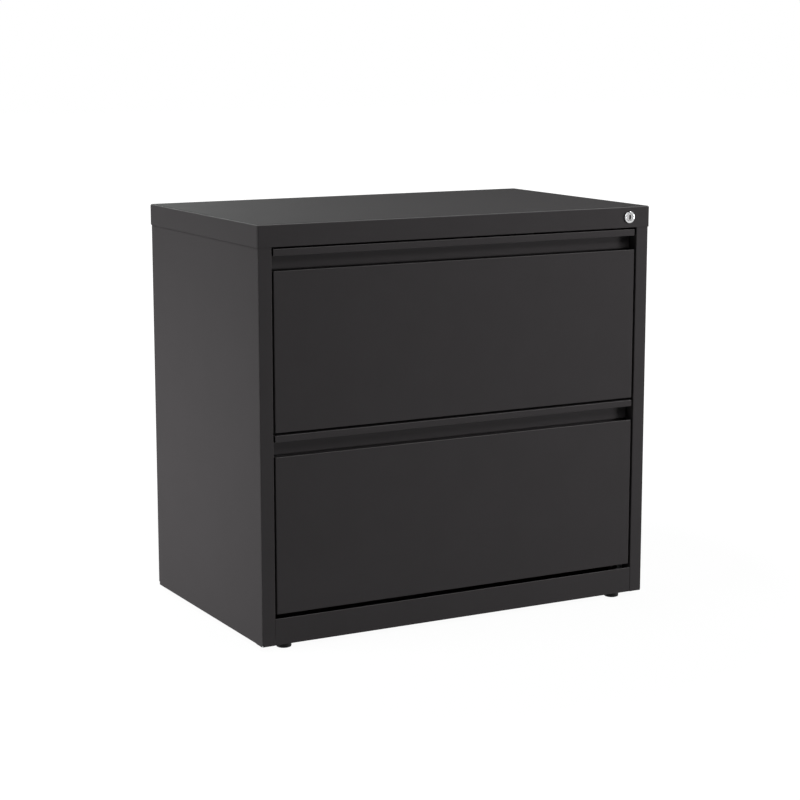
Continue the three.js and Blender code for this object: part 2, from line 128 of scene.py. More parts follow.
def addBlock(name, x, y, z):
    deselectAll()
    bpy.ops.mesh.primitive_cube_add(size=1, location=[sum(span) / 2 for span in (x, y, z)])
    block = named(name)
    block.scale = [span[1] - span[0] for span in (x, y, z)]
    bpy.ops.object.transform_apply(location=True, rotation=True, scale=True)
    return block


def addRound(name, radius, length, middle, along="z", tip=None, corners=32):  # a bar, or a cone with a tip radius
    turn = {"x": (0, quarterTurn, 0), "y": (quarterTurn, 0, 0), "z": (0, 0, 0)}[along]
    deselectAll()
    bpy.ops.mesh.primitive_cone_add(
        vertices=corners,
        radius1=radius,
        radius2=radius if tip is None else tip,
        depth=length,
        location=middle,
        rotation=turn,
    )
    bar = named(name)
    bpy.ops.object.transform_apply(location=True, rotation=True, scale=True)
    return bar


def foldOut(move, *places):  # draws the edges at these places out into a new flat
    pickEdges(*places)
    foldOn(move)


def foldOn(move):  # goes on from the edges drawn out last
    bpy.ops.mesh.extrude_edges_move(TRANSFORM_OT_translate={"value": move})


def roundFolds(radius, *places, steps=5):
    pickEdges(*places)
    bpy.ops.mesh.bevel(offset=radius, segments=steps, affect="EDGES", clamp_overlap=False)


def sliceFaces(plane, *places):  # cuts the faces at these places along one plane, such as {"x": 0.2}
    (axis, value), = plane.items()
    normal = [float(axis == other) for other in "xyz"]
    pickFaces(*places)
    bpy.ops.mesh.bisect(plane_co=[value * part for part in normal], plane_no=normal)


def pressField(flat, field, slope, lift, steps=5):  # a pressed panel with soft shoulders, pushed along the flat's axis
    for axis, span in field.items():
        for value in span:
            sliceFaces({axis: value}, flat)
    pickFaces({**field, **flat})
    (flatAxis, _), = flat.items()
    rise = [lift * (1 - math.cos(math.pi * i / steps)) / 2 for i in range(steps + 1)]
    for before, after in zip(rise, rise[1:]):
        bpy.ops.mesh.inset(thickness=slope / steps, depth=0)
        bpy.ops.transform.translate(value=[(after - before) * (flatAxis == axis) for axis in "xyz"])


def applyModifier(piece, kind, **settings):
    makeActive(piece)
    modifier = piece.modifiers.new(kind, kind)
    for name, value in settings.items():
        setattr(modifier, name, value)
    bpy.ops.object.modifier_apply(modifier=modifier.name)


def thicken(piece, sheet):  # the wall grows inwards from the modelled skin
    applyModifier(piece, "SOLIDIFY", thickness=sheet, offset=-1, use_even_offset=True, use_quality_normals=True)


def easeEdges(piece, width, steps=2, angle=50):
    applyModifier(
        piece,
        "BEVEL",
        width=width,
        segments=steps,
        limit_method="ANGLE",
        angle_limit=math.radians(angle),
    )


def cutAway(piece, cutters):
    deselectAll()
    for cutter in cutters:
        cutter.select_set(True)
    bpy.context.view_layer.objects.active = cutters[0]
    if len(cutters) > 1:
        bpy.ops.object.join()
    tool = bpy.context.view_layer.objects.active
    applyModifier(piece, "BOOLEAN", operation="DIFFERENCE", solver="EXACT", object=tool)
    bpy.data.objects.remove(tool)


def weldOn(piece, other):
    applyModifier(piece, "BOOLEAN", operation="UNION", solver="EXACT", object=other)
    bpy.data.objects.remove(other)


def joinPieces(piece, others):
    makeActive(piece)
    for other in others:
        other.select_set(True)
    bpy.ops.object.join()
    return piece


def copyPiece(piece, name, move=(0, 0, 0), mirror=False):
    makeActive(piece)
    bpy.ops.object.duplicate(linked=False)
    copy = named(name)
    editOn(copy)
    bpy.ops.mesh.select_all(action="SELECT")
    if mirror:
        bpy.ops.transform.resize(value=(-1, 1, 1), center_override=(0, 0, 0))
        bpy.ops.mesh.flip_normals()
    bpy.ops.transform.translate(value=move)
    editOff()
    return copy


def finishPiece(piece, body, slot, *nodes):  # shading, finish and place in the frame
    makeActive(piece)
    bpy.ops.object.shade_smooth_by_angle(angle=math.radians(32))
    applyModifier(piece, "WEIGHTED_NORMAL", keep_sharp=True)
    piece.data.materials.clear()
    piece.data.materials.append(finishes[slot])
    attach(piece, body)
    if nodes:
        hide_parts(*nodes)


def spinProfile(name, outline, middle, along, steps=64):  # outline points are (radius, place along the axis)
    axis = [float(along == other) for other in "xyz"]
    outward = Vector((1, 0, 0)) if along == "z" else Vector((0, 0, 1))
    points = [Vector(middle) + outward * radius + Vector(axis) * place for radius, place in outline]
    deselectAll()
    bpy.ops.mesh.primitive_plane_add(size=mm, location=points[0])
    piece = named(name)
    bpy.ops.object.transform_apply(location=True, rotation=True, scale=True)
    editOn(piece, "VERT")
    bpy.ops.mesh.select_all(action="SELECT")
    bpy.ops.mesh.merge(type="CENTER")
    for before, after in zip(points, points[1:]):
        bpy.ops.mesh.extrude_vertices_move(TRANSFORM_OT_translate={"value": after - before})
    bpy.ops.mesh.select_all(action="SELECT")
    bpy.ops.mesh.spin(steps=steps, angle=2 * math.pi, center=middle, axis=axis)
    bpy.ops.mesh.select_all(action="SELECT")
    bpy.ops.mesh.remove_doubles(threshold=near / 10)
    bpy.ops.mesh.normals_make_consistent(inside=False)
    editOff()
    return piece


# Finishes

def addNode(tree, kind, inputs=None, **settings):
    node = tree.nodes.new(kind)
    for name, value in settings.items():
        setattr(node, name, value)
    for name, value in (inputs or {}).items():
        if isinstance(value, bpy.types.NodeSocket):
            tree.links.new(value, node.inputs[name])
        else:
            node.inputs[name].default_value = value
    return node


def startFinish(name):
    finish = bpy.data.materials.new(name)
    finish.use_nodes = True
    tree = finish.node_tree
    place = addNode(tree, "ShaderNodeTexCoord").outputs["Object"]
    return finish, tree, tree.nodes["Principled BSDF"], place


def addGrain(tree, place, scale, detail=2.0, stretch=(1, 1, 1)):  # scale is in spots per metre
    turned = addNode(tree, "ShaderNodeMapping", {"Vector": place, "Scale": stretch}).outputs["Vector"]
    return addNode(tree, "ShaderNodeTexNoise", {"Vector": turned, "Scale": scale, "Detail": detail}).outputs["Fac"]


def addShades(tree, factor, dark, light, span=(0.35, 0.65)):
    ramp = addNode(tree, "ShaderNodeValToRGB", {"Fac": factor})
    for element, place, colour in zip(ramp.color_ramp.elements, span, (dark, light)):
        element.position = place
        element.color = (*colour, 1)
    return ramp.outputs["Color"]


def addSpread(tree, factor, low, high, span=(0.35, 0.65)):
    inputs = {"Value": factor, "From Min": span[0], "From Max": span[1], "To Min": low, "To Max": high}
    return addNode(tree, "ShaderNodeMapRange", inputs).outputs["Result"]


def addBump(tree, height, strength, depth, below=None):
    inputs = {"Height": height, "Strength": strength, "Distance": depth}
    if below is not None:
        inputs["Normal"] = below
    return addNode(tree, "ShaderNodeBump", inputs).outputs["Normal"]


def addEdgeMask(tree, reach):  # 1 along sharp outer edges, 0 on flats
    eased = addNode(tree, "ShaderNodeBevel", {"Radius": reach}, samples=4).outputs["Normal"]
    plain = addNode(tree, "ShaderNodeNewGeometry").outputs["Normal"]
    alike = addNode(tree, "ShaderNodeVectorMath", {0: eased, 1: plain}, operation="DOT_PRODUCT")
    return addSpread(tree, alike.outputs["Value"], 1.0, 0.0, span=(0.9, 0.995))


def addFoldHighlightMask(tree, span=(0.76, 0.95)):  # 1 along the middle of a fold, 0 on flats that face along an axis, weighted towards folds that face up: where the painted highlight goes
    plain = addNode(tree, "ShaderNodeNewGeometry").outputs["Normal"]
    unsigned = addNode(tree, "ShaderNodeVectorMath", {0: plain}, operation="ABSOLUTE").outputs["Vector"]
    parts = addNode(tree, "ShaderNodeSeparateXYZ", {"Vector": unsigned}).outputs
    most = addNode(tree, "ShaderNodeMath", {0: parts["X"], 1: parts["Y"]}, operation="MAXIMUM").outputs[0]
    most = addNode(tree, "ShaderNodeMath", {0: most, 1: parts["Z"]}, operation="MAXIMUM").outputs[0]
    upward = addNode(tree, "ShaderNodeSeparateXYZ", {"Vector": plain}).outputs["Z"]
    folded = addSpread(tree, most, 1.0, 0.0, span=span)
    upwardHighlight = addSpread(tree, upward, *charcoalPaint["upwardHighlight"], span=(0.3, 0.75))
    return addNode(tree, "ShaderNodeMath", {0: folded, 1: upwardHighlight}, operation="MULTIPLY").outputs[0]


# mixes the colour towards a lighter one by a mask: a painted highlight on the paint's folds, real wear on the raw
# steel's edges
def addWearAndHighlight(tree, factor, colour, wearAndHighlight):
    mix = addNode(tree, "ShaderNodeMix", data_type="RGBA")
    tree.links.new(factor, mix.inputs[0])
    tree.links.new(colour, mix.inputs[6])
    mix.inputs[7].default_value = (*wearAndHighlight, 1)
    return mix.outputs[2]


charcoalPaint = {
    "dark": (0.0457, 0.0426, 0.0440),
    "light": (0.0479, 0.0446, 0.0462),
    "wearAndHighlight": (0.180, 0.174, 0.176),  # painted highlight along folds and rims, standing in for the lamps' sheen on the bends
    "roughness": (0.785, 0.815),
    "gloss": 0.04,
    "patches": 14,
    "grain": 1500,
    "peel": 260,
    "upwardHighlight": (0.2, 1.0),  # the painted highlight is weaker on upright and hanging folds than on those that face up, as the light falls from above
}


def makeCharcoalPaint():
    finish, tree, shader, place = startFinish("charcoalPaint")
    patches = addGrain(tree, place, charcoalPaint["patches"], detail=3)
    colour = addShades(tree, patches, charcoalPaint["dark"], charcoalPaint["light"])
    # the folds are painted lighter: a painted highlight, lightest on folds that face up
    wearAndHighlight = addWearAndHighlight(tree, addFoldHighlightMask(tree), colour, charcoalPaint["wearAndHighlight"])
    tree.links.new(wearAndHighlight, shader.inputs["Base Color"])
    tree.links.new(addSpread(tree, patches, *charcoalPaint["roughness"]), shader.inputs["Roughness"])
    shader.inputs["Specular IOR Level"].default_value = charcoalPaint["gloss"]
    peel = addBump(tree, addGrain(tree, place, charcoalPaint["peel"]), 0.25, 0.08 * mm)
    grain = addBump(tree, addGrain(tree, place, charcoalPaint["grain"], detail=3), 0.45, 0.06 * mm, below=peel)
    tree.links.new(grain, shader.inputs["Normal"])
    return finish


def makePlate(name, dark, light, roughness, streak):  # plated or polished metal with fine streaks along Y
    finish, tree, shader, place = startFinish(name)
    streaks = addGrain(tree, place, streak, detail=4, stretch=(1, 0.04, 1))
    clouds = addGrain(tree, place, 35, detail=3)
    tree.links.new(addShades(tree, clouds, dark, light), shader.inputs["Base Color"])
    tree.links.new(addSpread(tree, streaks, *roughness), shader.inputs["Roughness"])
    shader.inputs["Metallic"].default_value = 1.0
    tree.links.new(addBump(tree, streaks, 0.12, 0.02 * mm), shader.inputs["Normal"])
    return finish


polishedChrome = {
    "satin": (0.46, 0.45, 0.45),  # the plug's turned face
    "bright": (0.66, 0.66, 0.67),
    "roughness": (0.15, 0.09),
    "edge": (6.5 * mm, 6.9 * mm),
    "rings": 5200,
    "ringShade": (0.78, 1.0),
}


def makePolishedChrome():
    finish, tree, shader, place = startFinish("polishedChrome")
    centred = {"Vector": place, "Location": (-lockMiddle.x, 0, -lockMiddle.z), "Scale": (1, 0, 1)}
    across = addNode(tree, "ShaderNodeMapping", centred).outputs["Vector"]
    away = addNode(tree, "ShaderNodeVectorMath", {0: across}, operation="LENGTH").outputs["Value"]
    colour = addShades(tree, away, polishedChrome["satin"], polishedChrome["bright"], span=polishedChrome["edge"])
    turning = addNode(tree, "ShaderNodeTexNoise", {"W": away, "Scale": polishedChrome["rings"]}, noise_dimensions="1D")
    shade = addSpread(tree, turning.outputs["Fac"], *polishedChrome["ringShade"])
    shaded = addNode(tree, "ShaderNodeVectorMath", {0: colour, 1: shade}, operation="MULTIPLY").outputs["Vector"]
    tree.links.new(shaded, shader.inputs["Base Color"])
    rough = addSpread(tree, away, *polishedChrome["roughness"], span=polishedChrome["edge"])
    tree.links.new(rough, shader.inputs["Roughness"])
    shader.inputs["Metallic"].default_value = 1.0
    tree.links.new(addBump(tree, turning.outputs["Fac"], 0.1, 0.02 * mm), shader.inputs["Normal"])
    return finish


blackNylon = {
    "dark": (0.005, 0.005, 0.005),
    "light": (0.010, 0.010, 0.010),
    "roughness": (0.50, 0.64),
    "gloss": 0.12,
    "grain": 900,
}


def makeBlackNylon():
    finish, tree, shader, place = startFinish("blackNylon")
    grain = addGrain(tree, place, blackNylon["grain"], detail=2)
    tree.links.new(addShades(tree, grain, blackNylon["dark"], blackNylon["light"]), shader.inputs["Base Color"])
    tree.links.new(addSpread(tree, grain, *blackNylon["roughness"]), shader.inputs["Roughness"])
    shader.inputs["Specular IOR Level"].default_value = blackNylon["gloss"]
    tree.links.new(addBump(tree, grain, 0.3, 0.05 * mm), shader.inputs["Normal"])
    return finish


def makeRawSteel():
    finish, tree, shader, place = startFinish("rawSteel")
    scale = addGrain(tree, place, 60, detail=6)
    colour = addShades(tree, scale, (0.070, 0.071, 0.076), (0.145, 0.140, 0.138), span=(0.3, 0.7))
    tree.links.new(addWearAndHighlight(tree, addEdgeMask(tree, 1.2 * mm), colour, (0.32, 0.31, 0.30)), shader.inputs["Base Color"])
    tree.links.new(addSpread(tree, scale, 0.45, 0.72), shader.inputs["Roughness"])
    shader.inputs["Metallic"].default_value = 0.8
    tree.links.new(addBump(tree, addGrain(tree, place, 420, detail=4), 0.35, 0.15 * mm), shader.inputs["Normal"])
    return finish


finishes = {
    "charcoal_paint": makeCharcoalPaint(),
    "zinc_plate": makePlate("zincPlate", (0.24, 0.245, 0.255), (0.31, 0.31, 0.32), (0.38, 0.52), 1600),
    "bright_steel": makePlate("brightSteel", (0.34, 0.34, 0.345), (0.42, 0.42, 0.42), (0.28, 0.4), 2200),
    "polished_chrome": makePolishedChrome(),
    "black_nylon": makeBlackNylon(),
    "raw_steel": makeRawSteel(),
}
print("finishes:", len(finishes))


# Case

topCap = {"sheet": 1.0 * mm, "bend": 3.2 * mm, "lip": 10 * mm, "lipBend": 1.05 * mm, "ease": 0.15 * mm, "lockHole": 8.8 * mm}


def makeTopCap():
    low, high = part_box("top_cap")
    cap = addBlock("topCap", (low.x, high.x), (low.y, high.y), (low.z, high.z))
    editOn(cap, "FACE")
    pickFaces({"z": low.z})
    bpy.ops.mesh.delete(type="FACE")
    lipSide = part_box("base_front_rail")[1].x
    for x in (-lipSide, lipSide):
        sliceFaces({"x": x}, {"y": low.y})
    lipEdge = {"x": (-lipSide, lipSide), "y": low.y, "z": low.z}
    foldOut((0, topCap["lip"], 0), lipEdge)
    roundFolds(topCap["lipBend"], lipEdge)
    corners = [{"x": x, "y": y} for x in (low.x, high.x) for y in (low.y, high.y)]
    rims = [{"z": high.z, "x": x} for x in (low.x, high.x)] + [{"z": high.z, "y": y} for y in (low.y, high.y)]
    roundFolds(topCap["bend"], *corners, *rims)
    editOff()
    thicken(cap, topCap["sheet"])
    easeEdges(cap, topCap["ease"])
    hole = addRound("lockHole", topCap["lockHole"], 6 * mm, lockMiddle, along="y")
    cutAway(cap, [hole])
    finishPiece(cap, "case", "charcoal_paint", "top_cap")


sidePanel = {
    "sheet": 1.0 * mm,
    "bend": 2.0 * mm,
    "stileBend": 1.05 * mm,
    "stileReturn": 25 * mm,
    "rearFlange": 18 * mm,
    "topFlange": 18 * mm,
    "bottomFlange": 22 * mm,
    "flangeBend": 1.5 * mm,
    "flangeClear": 4 * mm,
    "ease": 0.15 * mm,
    "rearRelief": (4.4 * mm, 6.4 * mm),
    "frontRelief": (1.6 * mm, 2.4 * mm),
    "weld": {"radius": 3.4 * mm, "floor": 2.2 * mm, "depth": 0.4 * mm, "count": 8, "margin": 45 * mm},
}


def makeSidePanels():
    low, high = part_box("right_side_panel")  # modelled on the right, then mirrored
    panel = addSheet("rightSidePanel", high.x, (low.y, high.y), (low.z, high.z))
    editOn(panel)
    foldOut((low.x - high.x, 0, 0), {"x": high.x, "y": low.y})  # stile
    foldOn((0, sidePanel["stileReturn"], 0))
    foldOut((-sidePanel["rearFlange"], 0, 0), {"x": high.x, "y": high.y})
    flangeY = (low.y + sidePanel["stileReturn"], high.y - sidePanel["flangeClear"])
    for y in flangeY:
        sliceFaces({"y": y}, {"x": high.x})
    for z, reach in ((high.z, sidePanel["topFlange"]), (low.z, sidePanel["bottomFlange"])):
        flangeEdge = {"x": high.x, "y": flangeY, "z": z}
        foldOut((-reach, 0, 0), flangeEdge)
        roundFolds(sidePanel["flangeBend"], flangeEdge)
    roundFolds(sidePanel["stileBend"], {"x": low.x, "y": low.y})
    roundFolds(sidePanel["bend"], {"x": high.x, "y": low.y}, {"x": high.x, "y": high.y})
    editOff()
    thicken(panel, sidePanel["sheet"])
    past = sidePanel["sheet"]  # cutters reach this far past the skin
    depth, height = sidePanel["rearRelief"]
    reliefX = (high.x - 2 * sidePanel["rearFlange"], high.x + past)
    reliefs = [addBlock("rearRelief", reliefX, (high.y - depth, high.y + past), (low.z - past, low.z + height))]
    depth, height = sidePanel["frontRelief"]
    cornerX = (high.x - depth, high.x + past)
    reliefs.append(addBlock("frontRelief", cornerX, (low.y - past, low.y + depth), (low.z - past, low.z + height)))
    cutAway(panel, reliefs)
    easeEdges(panel, sidePanel["ease"])
    weld = sidePanel["weld"]
    weldX = high.x - sidePanel["rearFlange"] / 2
    step = (high.z - low.z - 2 * weld["margin"]) / (weld["count"] - 1)
    dents = []
    for i in range(weld["count"]):
        middle = (weldX, high.y, low.z + weld["margin"] + i * step)
        dents.append(addRound("weld", weld["floor"], 2 * weld["depth"], middle, "y", tip=2 * weld["radius"] - weld["floor"], corners=20))
    cutAway(panel, dents)
    leftPanel = copyPiece(panel, "leftSidePanel", mirror=True)
    finishPiece(panel, "case", "charcoal_paint", "right_side_panel")
    finishPiece(leftPanel, "case", "charcoal_paint", "left_side_panel")


backPanel = {"sheet": 1.0 * mm, "ease": 0.15 * mm, "margin": 62 * mm, "between": 40 * mm, "slope": 7 * mm, "pressed": 2.5 * mm}


def makeBackPanel():
    low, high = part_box("back_panel")
    panel = addSheet("backPanel", (low.x, high.x), high.y, (low.z, high.z))
    margin, half = backPanel["margin"], backPanel["between"] / 2
    editOn(panel)
    for fieldX in ((low.x + margin, -half), (half, high.x - margin)):
        field = {"x": fieldX, "z": (low.z + margin, high.z - margin)}
        pressField({"y": high.y}, field, backPanel["slope"], -backPanel["pressed"])
    editOff()
    thicken(panel, backPanel["sheet"])
    easeEdges(panel, backPanel["ease"])
    finishPiece(panel, "case", "charcoal_paint", "back_panel")


baseRail = {
    "sheet": 1.0 * mm,
    "topBend": 1.45 * mm,
    "topFall": 7.5 * mm,  # the top flange is folded past square, so that the drawer clears it
    "bend": 1.15 * mm,
    "bottomFlange": 13 * mm,
    "ease": 0.15 * mm,
}


def makeBaseRail():
    low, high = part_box("base_front_rail")
    rail = addSheet("baseFrontRail", (low.x, high.x), low.y, (low.z, high.z), faces=-1)
    editOn(rail)
    foldOut((0, high.y - low.y, -baseRail["topFall"]), {"z": high.z})
    foldOut((0, baseRail["bottomFlange"], 0), {"y": low.y, "z": low.z})
    roundFolds(baseRail["topBend"], {"y": low.y, "z": high.z})
    roundFolds(baseRail["bend"], {"y": low.y, "z": low.z})
    editOff()
    thicken(rail, baseRail["sheet"])
    easeEdges(rail, baseRail["ease"])
    finishPiece(rail, "case", "charcoal_paint", "base_front_rail")


basePan = {
    "sheet": 1.0 * mm,
    "ease": 0.15 * mm,
    "bore": 4.3 * mm,
    "boss": 8 * mm,
    "bossChamfer": 1.2 * mm,
    "rib": {"half": 250 * mm, "width": 34 * mm, "count": 3, "first": -130 * mm, "pitch": 90 * mm, "lift": 3 * mm, "slope": 7 * mm},
}
glides = [f"{end}_{side}_glide" for end in ("front", "rear") for side in sides]


def makeBasePan():
    low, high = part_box("base_pan")
    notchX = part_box("base_front_rail")[1].x
    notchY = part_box("left_side_panel")[0].y + sidePanel["stileReturn"] + basePan["sheet"]
    pan = addSheet("basePan", (low.x, high.x), (low.y, high.y), low.z, faces=-1)
    editOn(pan, "FACE")
    for x in (-notchX, notchX):
        sliceFaces({"x": x}, {"z": low.z})
    sliceFaces({"y": notchY}, {"z": low.z})
    pickFaces({"x": (low.x, -notchX), "y": (low.y, notchY)}, {"x": (notchX, high.x), "y": (low.y, notchY)})
    bpy.ops.mesh.delete(type="FACE")
    rib = basePan["rib"]
    for i in range(rib["count"]):
        start = rib["first"] + i * rib["pitch"]
        field = {"x": (-rib["half"], rib["half"]), "y": (start, start + rib["width"])}
        pressField({"z": low.z}, field, rib["slope"], rib["lift"])
    editOff()
    thicken(pan, basePan["sheet"])
    easeEdges(pan, basePan["ease"])
    bosses, bores = [], []
    for glide in glides:
        foot = sum(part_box(glide), Vector()) / 2
        bores.append(addRound("bore", basePan["bore"], 8 * mm, (foot.x, foot.y, low.z)))
        floorZ = low.z + basePan["sheet"]
        outline = [
            (basePan["bore"], floorZ),
            (basePan["boss"], floorZ),
            (basePan["boss"], high.z - basePan["bossChamfer"]),
            (basePan["boss"] - basePan["bossChamfer"], high.z),
            (basePan["bore"], high.z),
            (basePan["bore"], floorZ),
        ]
        bosses.append(spinProfile("boss", outline, (foot.x, foot.y, 0), "z", steps=32))
    cutAway(pan, bores)
    joinPieces(pan, bosses)
    finishPiece(pan, "case", "charcoal_paint", "base_pan")


counterweight = {"ease": 1.0 * mm, "boltX": 210 * mm, "bolt": 6.5 * mm, "boltHead": 5 * mm, "washer": 9 * mm, "washerSheet": 1.6 * mm}


def makeCounterweight():
    low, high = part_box("counterweight")
    bar = addBlock("counterweightBar", (low.x, high.x), (low.y, high.y), (low.z, high.z))
    easeEdges(bar, counterweight["ease"], steps=3)
    washerTop = high.z + counterweight["washerSheet"]
    added = []
    for x in (-counterweight["boltX"], counterweight["boltX"]):
        y = (low.y + high.y) / 2
        washer = addRound("washer", counterweight["washer"], counterweight["washerSheet"], (x, y, (high.z + washerTop) / 2))
        easeEdges(washer, 0.3 * mm)
        head = addRound("bolt", counterweight["bolt"], counterweight["boltHead"], (x, y, washerTop + counterweight["boltHead"] / 2), corners=6)
        easeEdges(head, 0.5 * mm)
        added += [washer, head]
    joinPieces(bar, added)
    finishPiece(bar, "case", "raw_steel", "counterweight")


upright = {"sheet": 1.0 * mm, "bend": 1.6 * mm, "ease": 0.12 * mm, "slot": (4.2 * mm, 14 * mm), "pitch": 28 * mm, "margin": 30 * mm}


def makeUprights():
    for end in ("front", "rear"):
        low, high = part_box(f"right_{end}_upright")
        post = addSheet(f"right{end.title()}Upright", low.x, (low.y, high.y), (low.z, high.z), faces=-1)
        editOn(post)
        foldOut((high.x - low.x, 0, 0), {"y": low.y}, {"y": high.y})
        roundFolds(upright["bend"], {"x": low.x, "y": low.y}, {"x": low.x, "y": high.y})
        editOff()
        thicken(post, upright["sheet"])
        wide, tall = upright["slot"]
        middleY = (low.y + high.y) / 2
        slots = []
        z = low.z + upright["margin"]
        while z + tall < high.z - upright["margin"]:
            slots.append(addBlock("slot", (low.x - 2 * mm, low.x + 4 * mm), (middleY - wide / 2, middleY + wide / 2), (z, z + tall)))
            z += upright["pitch"]
        cutAway(post, slots)
        easeEdges(post, upright["ease"], steps=1)
        other = copyPiece(post, f"left{end.title()}Upright", mirror=True)
        finishPiece(post, "case", "zinc_plate", f"right_{end}_upright")
        finishPiece(other, "case", "zinc_plate", f"left_{end}_upright")


glideFoot = {
    "top": 8 * mm,
    "rim": 2.0 * mm,
    "shoulder": 1.2 * mm,
    "hollow": 0.6 * mm,
    "collar": 7.0 * mm,
    "collarTop": 9.6 * mm,
    "stud": 4 * mm,
    "sunk": 2 * mm,  # the stud goes this far into the foot
    "thread": 0.5 * mm,
    "pitch": 1.25 * mm,
    "steps": 48,
}


def makeGlides():
    low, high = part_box(glides[0])
    radius, top = (high.x - low.x) / 2, glideFoot["top"]
    rim, shoulder, hollow = glideFoot["rim"], glideFoot["shoulder"], glideFoot["hollow"]
    footOutline = [
        (0, hollow),
        (radius - 2 * rim, hollow),  # shallow hollow underneath
        (radius - 1.8 * rim, 0),
        (radius - rim, 0),
        (radius - 0.3 * rim, 0.3 * rim),
        (radius, rim),
        (radius, top - shoulder),
        (radius - 0.3 * shoulder, top - 0.3 * shoulder),
        (radius - shoulder, top),
        (glideFoot["collar"], top),
        (glideFoot["collar"], glideFoot["collarTop"]),
        (0, glideFoot["collarTop"]),
    ]
    stud, pitch = glideFoot["stud"], glideFoot["pitch"]
    root = stud - glideFoot["thread"]
    z = glideFoot["collarTop"] - glideFoot["sunk"]
    studOutline = [(0, z), (root, z)]
    while z < high.z - 2 * pitch:
        studOutline += [(root, z + pitch / 4), (stud, z + pitch / 2), (stud, z + pitch * 0.6)]
        z += pitch
    studOutline += [(root, z), (root, high.z), (0, high.z)]
    first = sum(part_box(glides[0]), Vector()) / 2
    models = [
        spinProfile(name, outline, (first.x, first.y, 0), "z", steps=glideFoot["steps"])
        for name, outline in (("glide", footOutline), ("glideStud", studOutline))
    ]
    for glide in glides:
        place = sum(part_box(glide), Vector()) / 2
        words = glide.split("_")
        name = words[0] + words[1].title() + "Glide"
        aside = (place.x - first.x, place.y - first.y, 0)
        finishPiece(copyPiece(models[0], name, move=aside), glide + "_foot", "black_nylon", glide)
        finishPiece(copyPiece(models[1], name + "Stud", move=aside), glide + "_foot", "zinc_plate")
    for model in models:
        bpy.data.objects.remove(model)


makeTopCap()
makeSidePanels()
makeBackPanel()
makeBaseRail()
makeBasePan()
makeCounterweight()
makeUprights()
makeGlides()
print("case: cap, panels, base, uprights and glides")


# Drawers, modelled as the upper one and copied down

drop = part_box("lower_drawer_face")[0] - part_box("upper_drawer_face")[0]


def finishLevels(piece, slot, node, body=None):  # the upper piece and its copy below
    lower = copyPiece(piece, piece.name.replace("upper", "lower"), move=drop)
    for level, made in zip(levels, (piece, lower)):
        finishPiece(made, body or f"{level}_drawer", slot, f"{level}_{node}")


drawerFace = {"sheet": 1.0 * mm, "bend": 1.4 * mm, "return": 12 * mm, "hemDepth": 2.6 * mm, "hem": 10 * mm, "hemSide": 2.0 * mm, "hemBend": 1.29 * mm, "ease": 0.15 * mm}


def makeDrawerFaces():
    low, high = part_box("upper_drawer_face")
    face = addSheet("upperDrawerFace", (low.x, high.x), low.y, (low.z, high.z), faces=-1)
    hemX = (low.x + drawerFace["hemSide"], high.x - drawerFace["hemSide"])
    editOn(face)
    for x in hemX:
        sliceFaces({"x": x}, {"y": low.y})
    foldOut((0, drawerFace["return"], 0), {"x": low.x}, {"x": high.x}, {"z": low.z})
    hemEdge = {"x": hemX, "y": low.y, "z": high.z}
    foldOut((0, drawerFace["hemDepth"], 0), hemEdge)
    foldOn((0, 0, -drawerFace["hem"]))
    roundFolds(drawerFace["hemBend"], hemEdge, {"x": hemX, "y": low.y + drawerFace["hemDepth"], "z": high.z})
    roundFolds(
        drawerFace["bend"],
        {"x": low.x, "y": low.y},
        {"x": high.x, "y": low.y},
        {"y": low.y, "z": low.z},
        {"x": low.x, "z": low.z},
        {"x": high.x, "z": low.z},
    )
    editOff()
    thicken(face, drawerFace["sheet"])
    easeEdges(face, drawerFace["ease"])
    finishLevels(face, "charcoal_paint", "drawer_face")


drawerPull = {
    "sheet": 1.0 * mm,
    "strip": 11.5 * mm,
    "recess": 17 * mm,
    "slotTop": 1.0 * mm,  # the finger slot opens this far above the face's top edge
    "slotStep": 3.9 * mm,
    "slotBends": (1.05 * mm, 0.6 * mm),
    "weldFlange": 16 * mm,
    "weldBack": 2.3 * mm,
    "endNotch": 1.3 * mm,
    "stripBends": (1.3 * mm, 1.9 * mm),
    "recessBends": (3.5 * mm, 5 * mm),
    "weldBend": 1.4 * mm,
    "ease": 0.15 * mm,
}


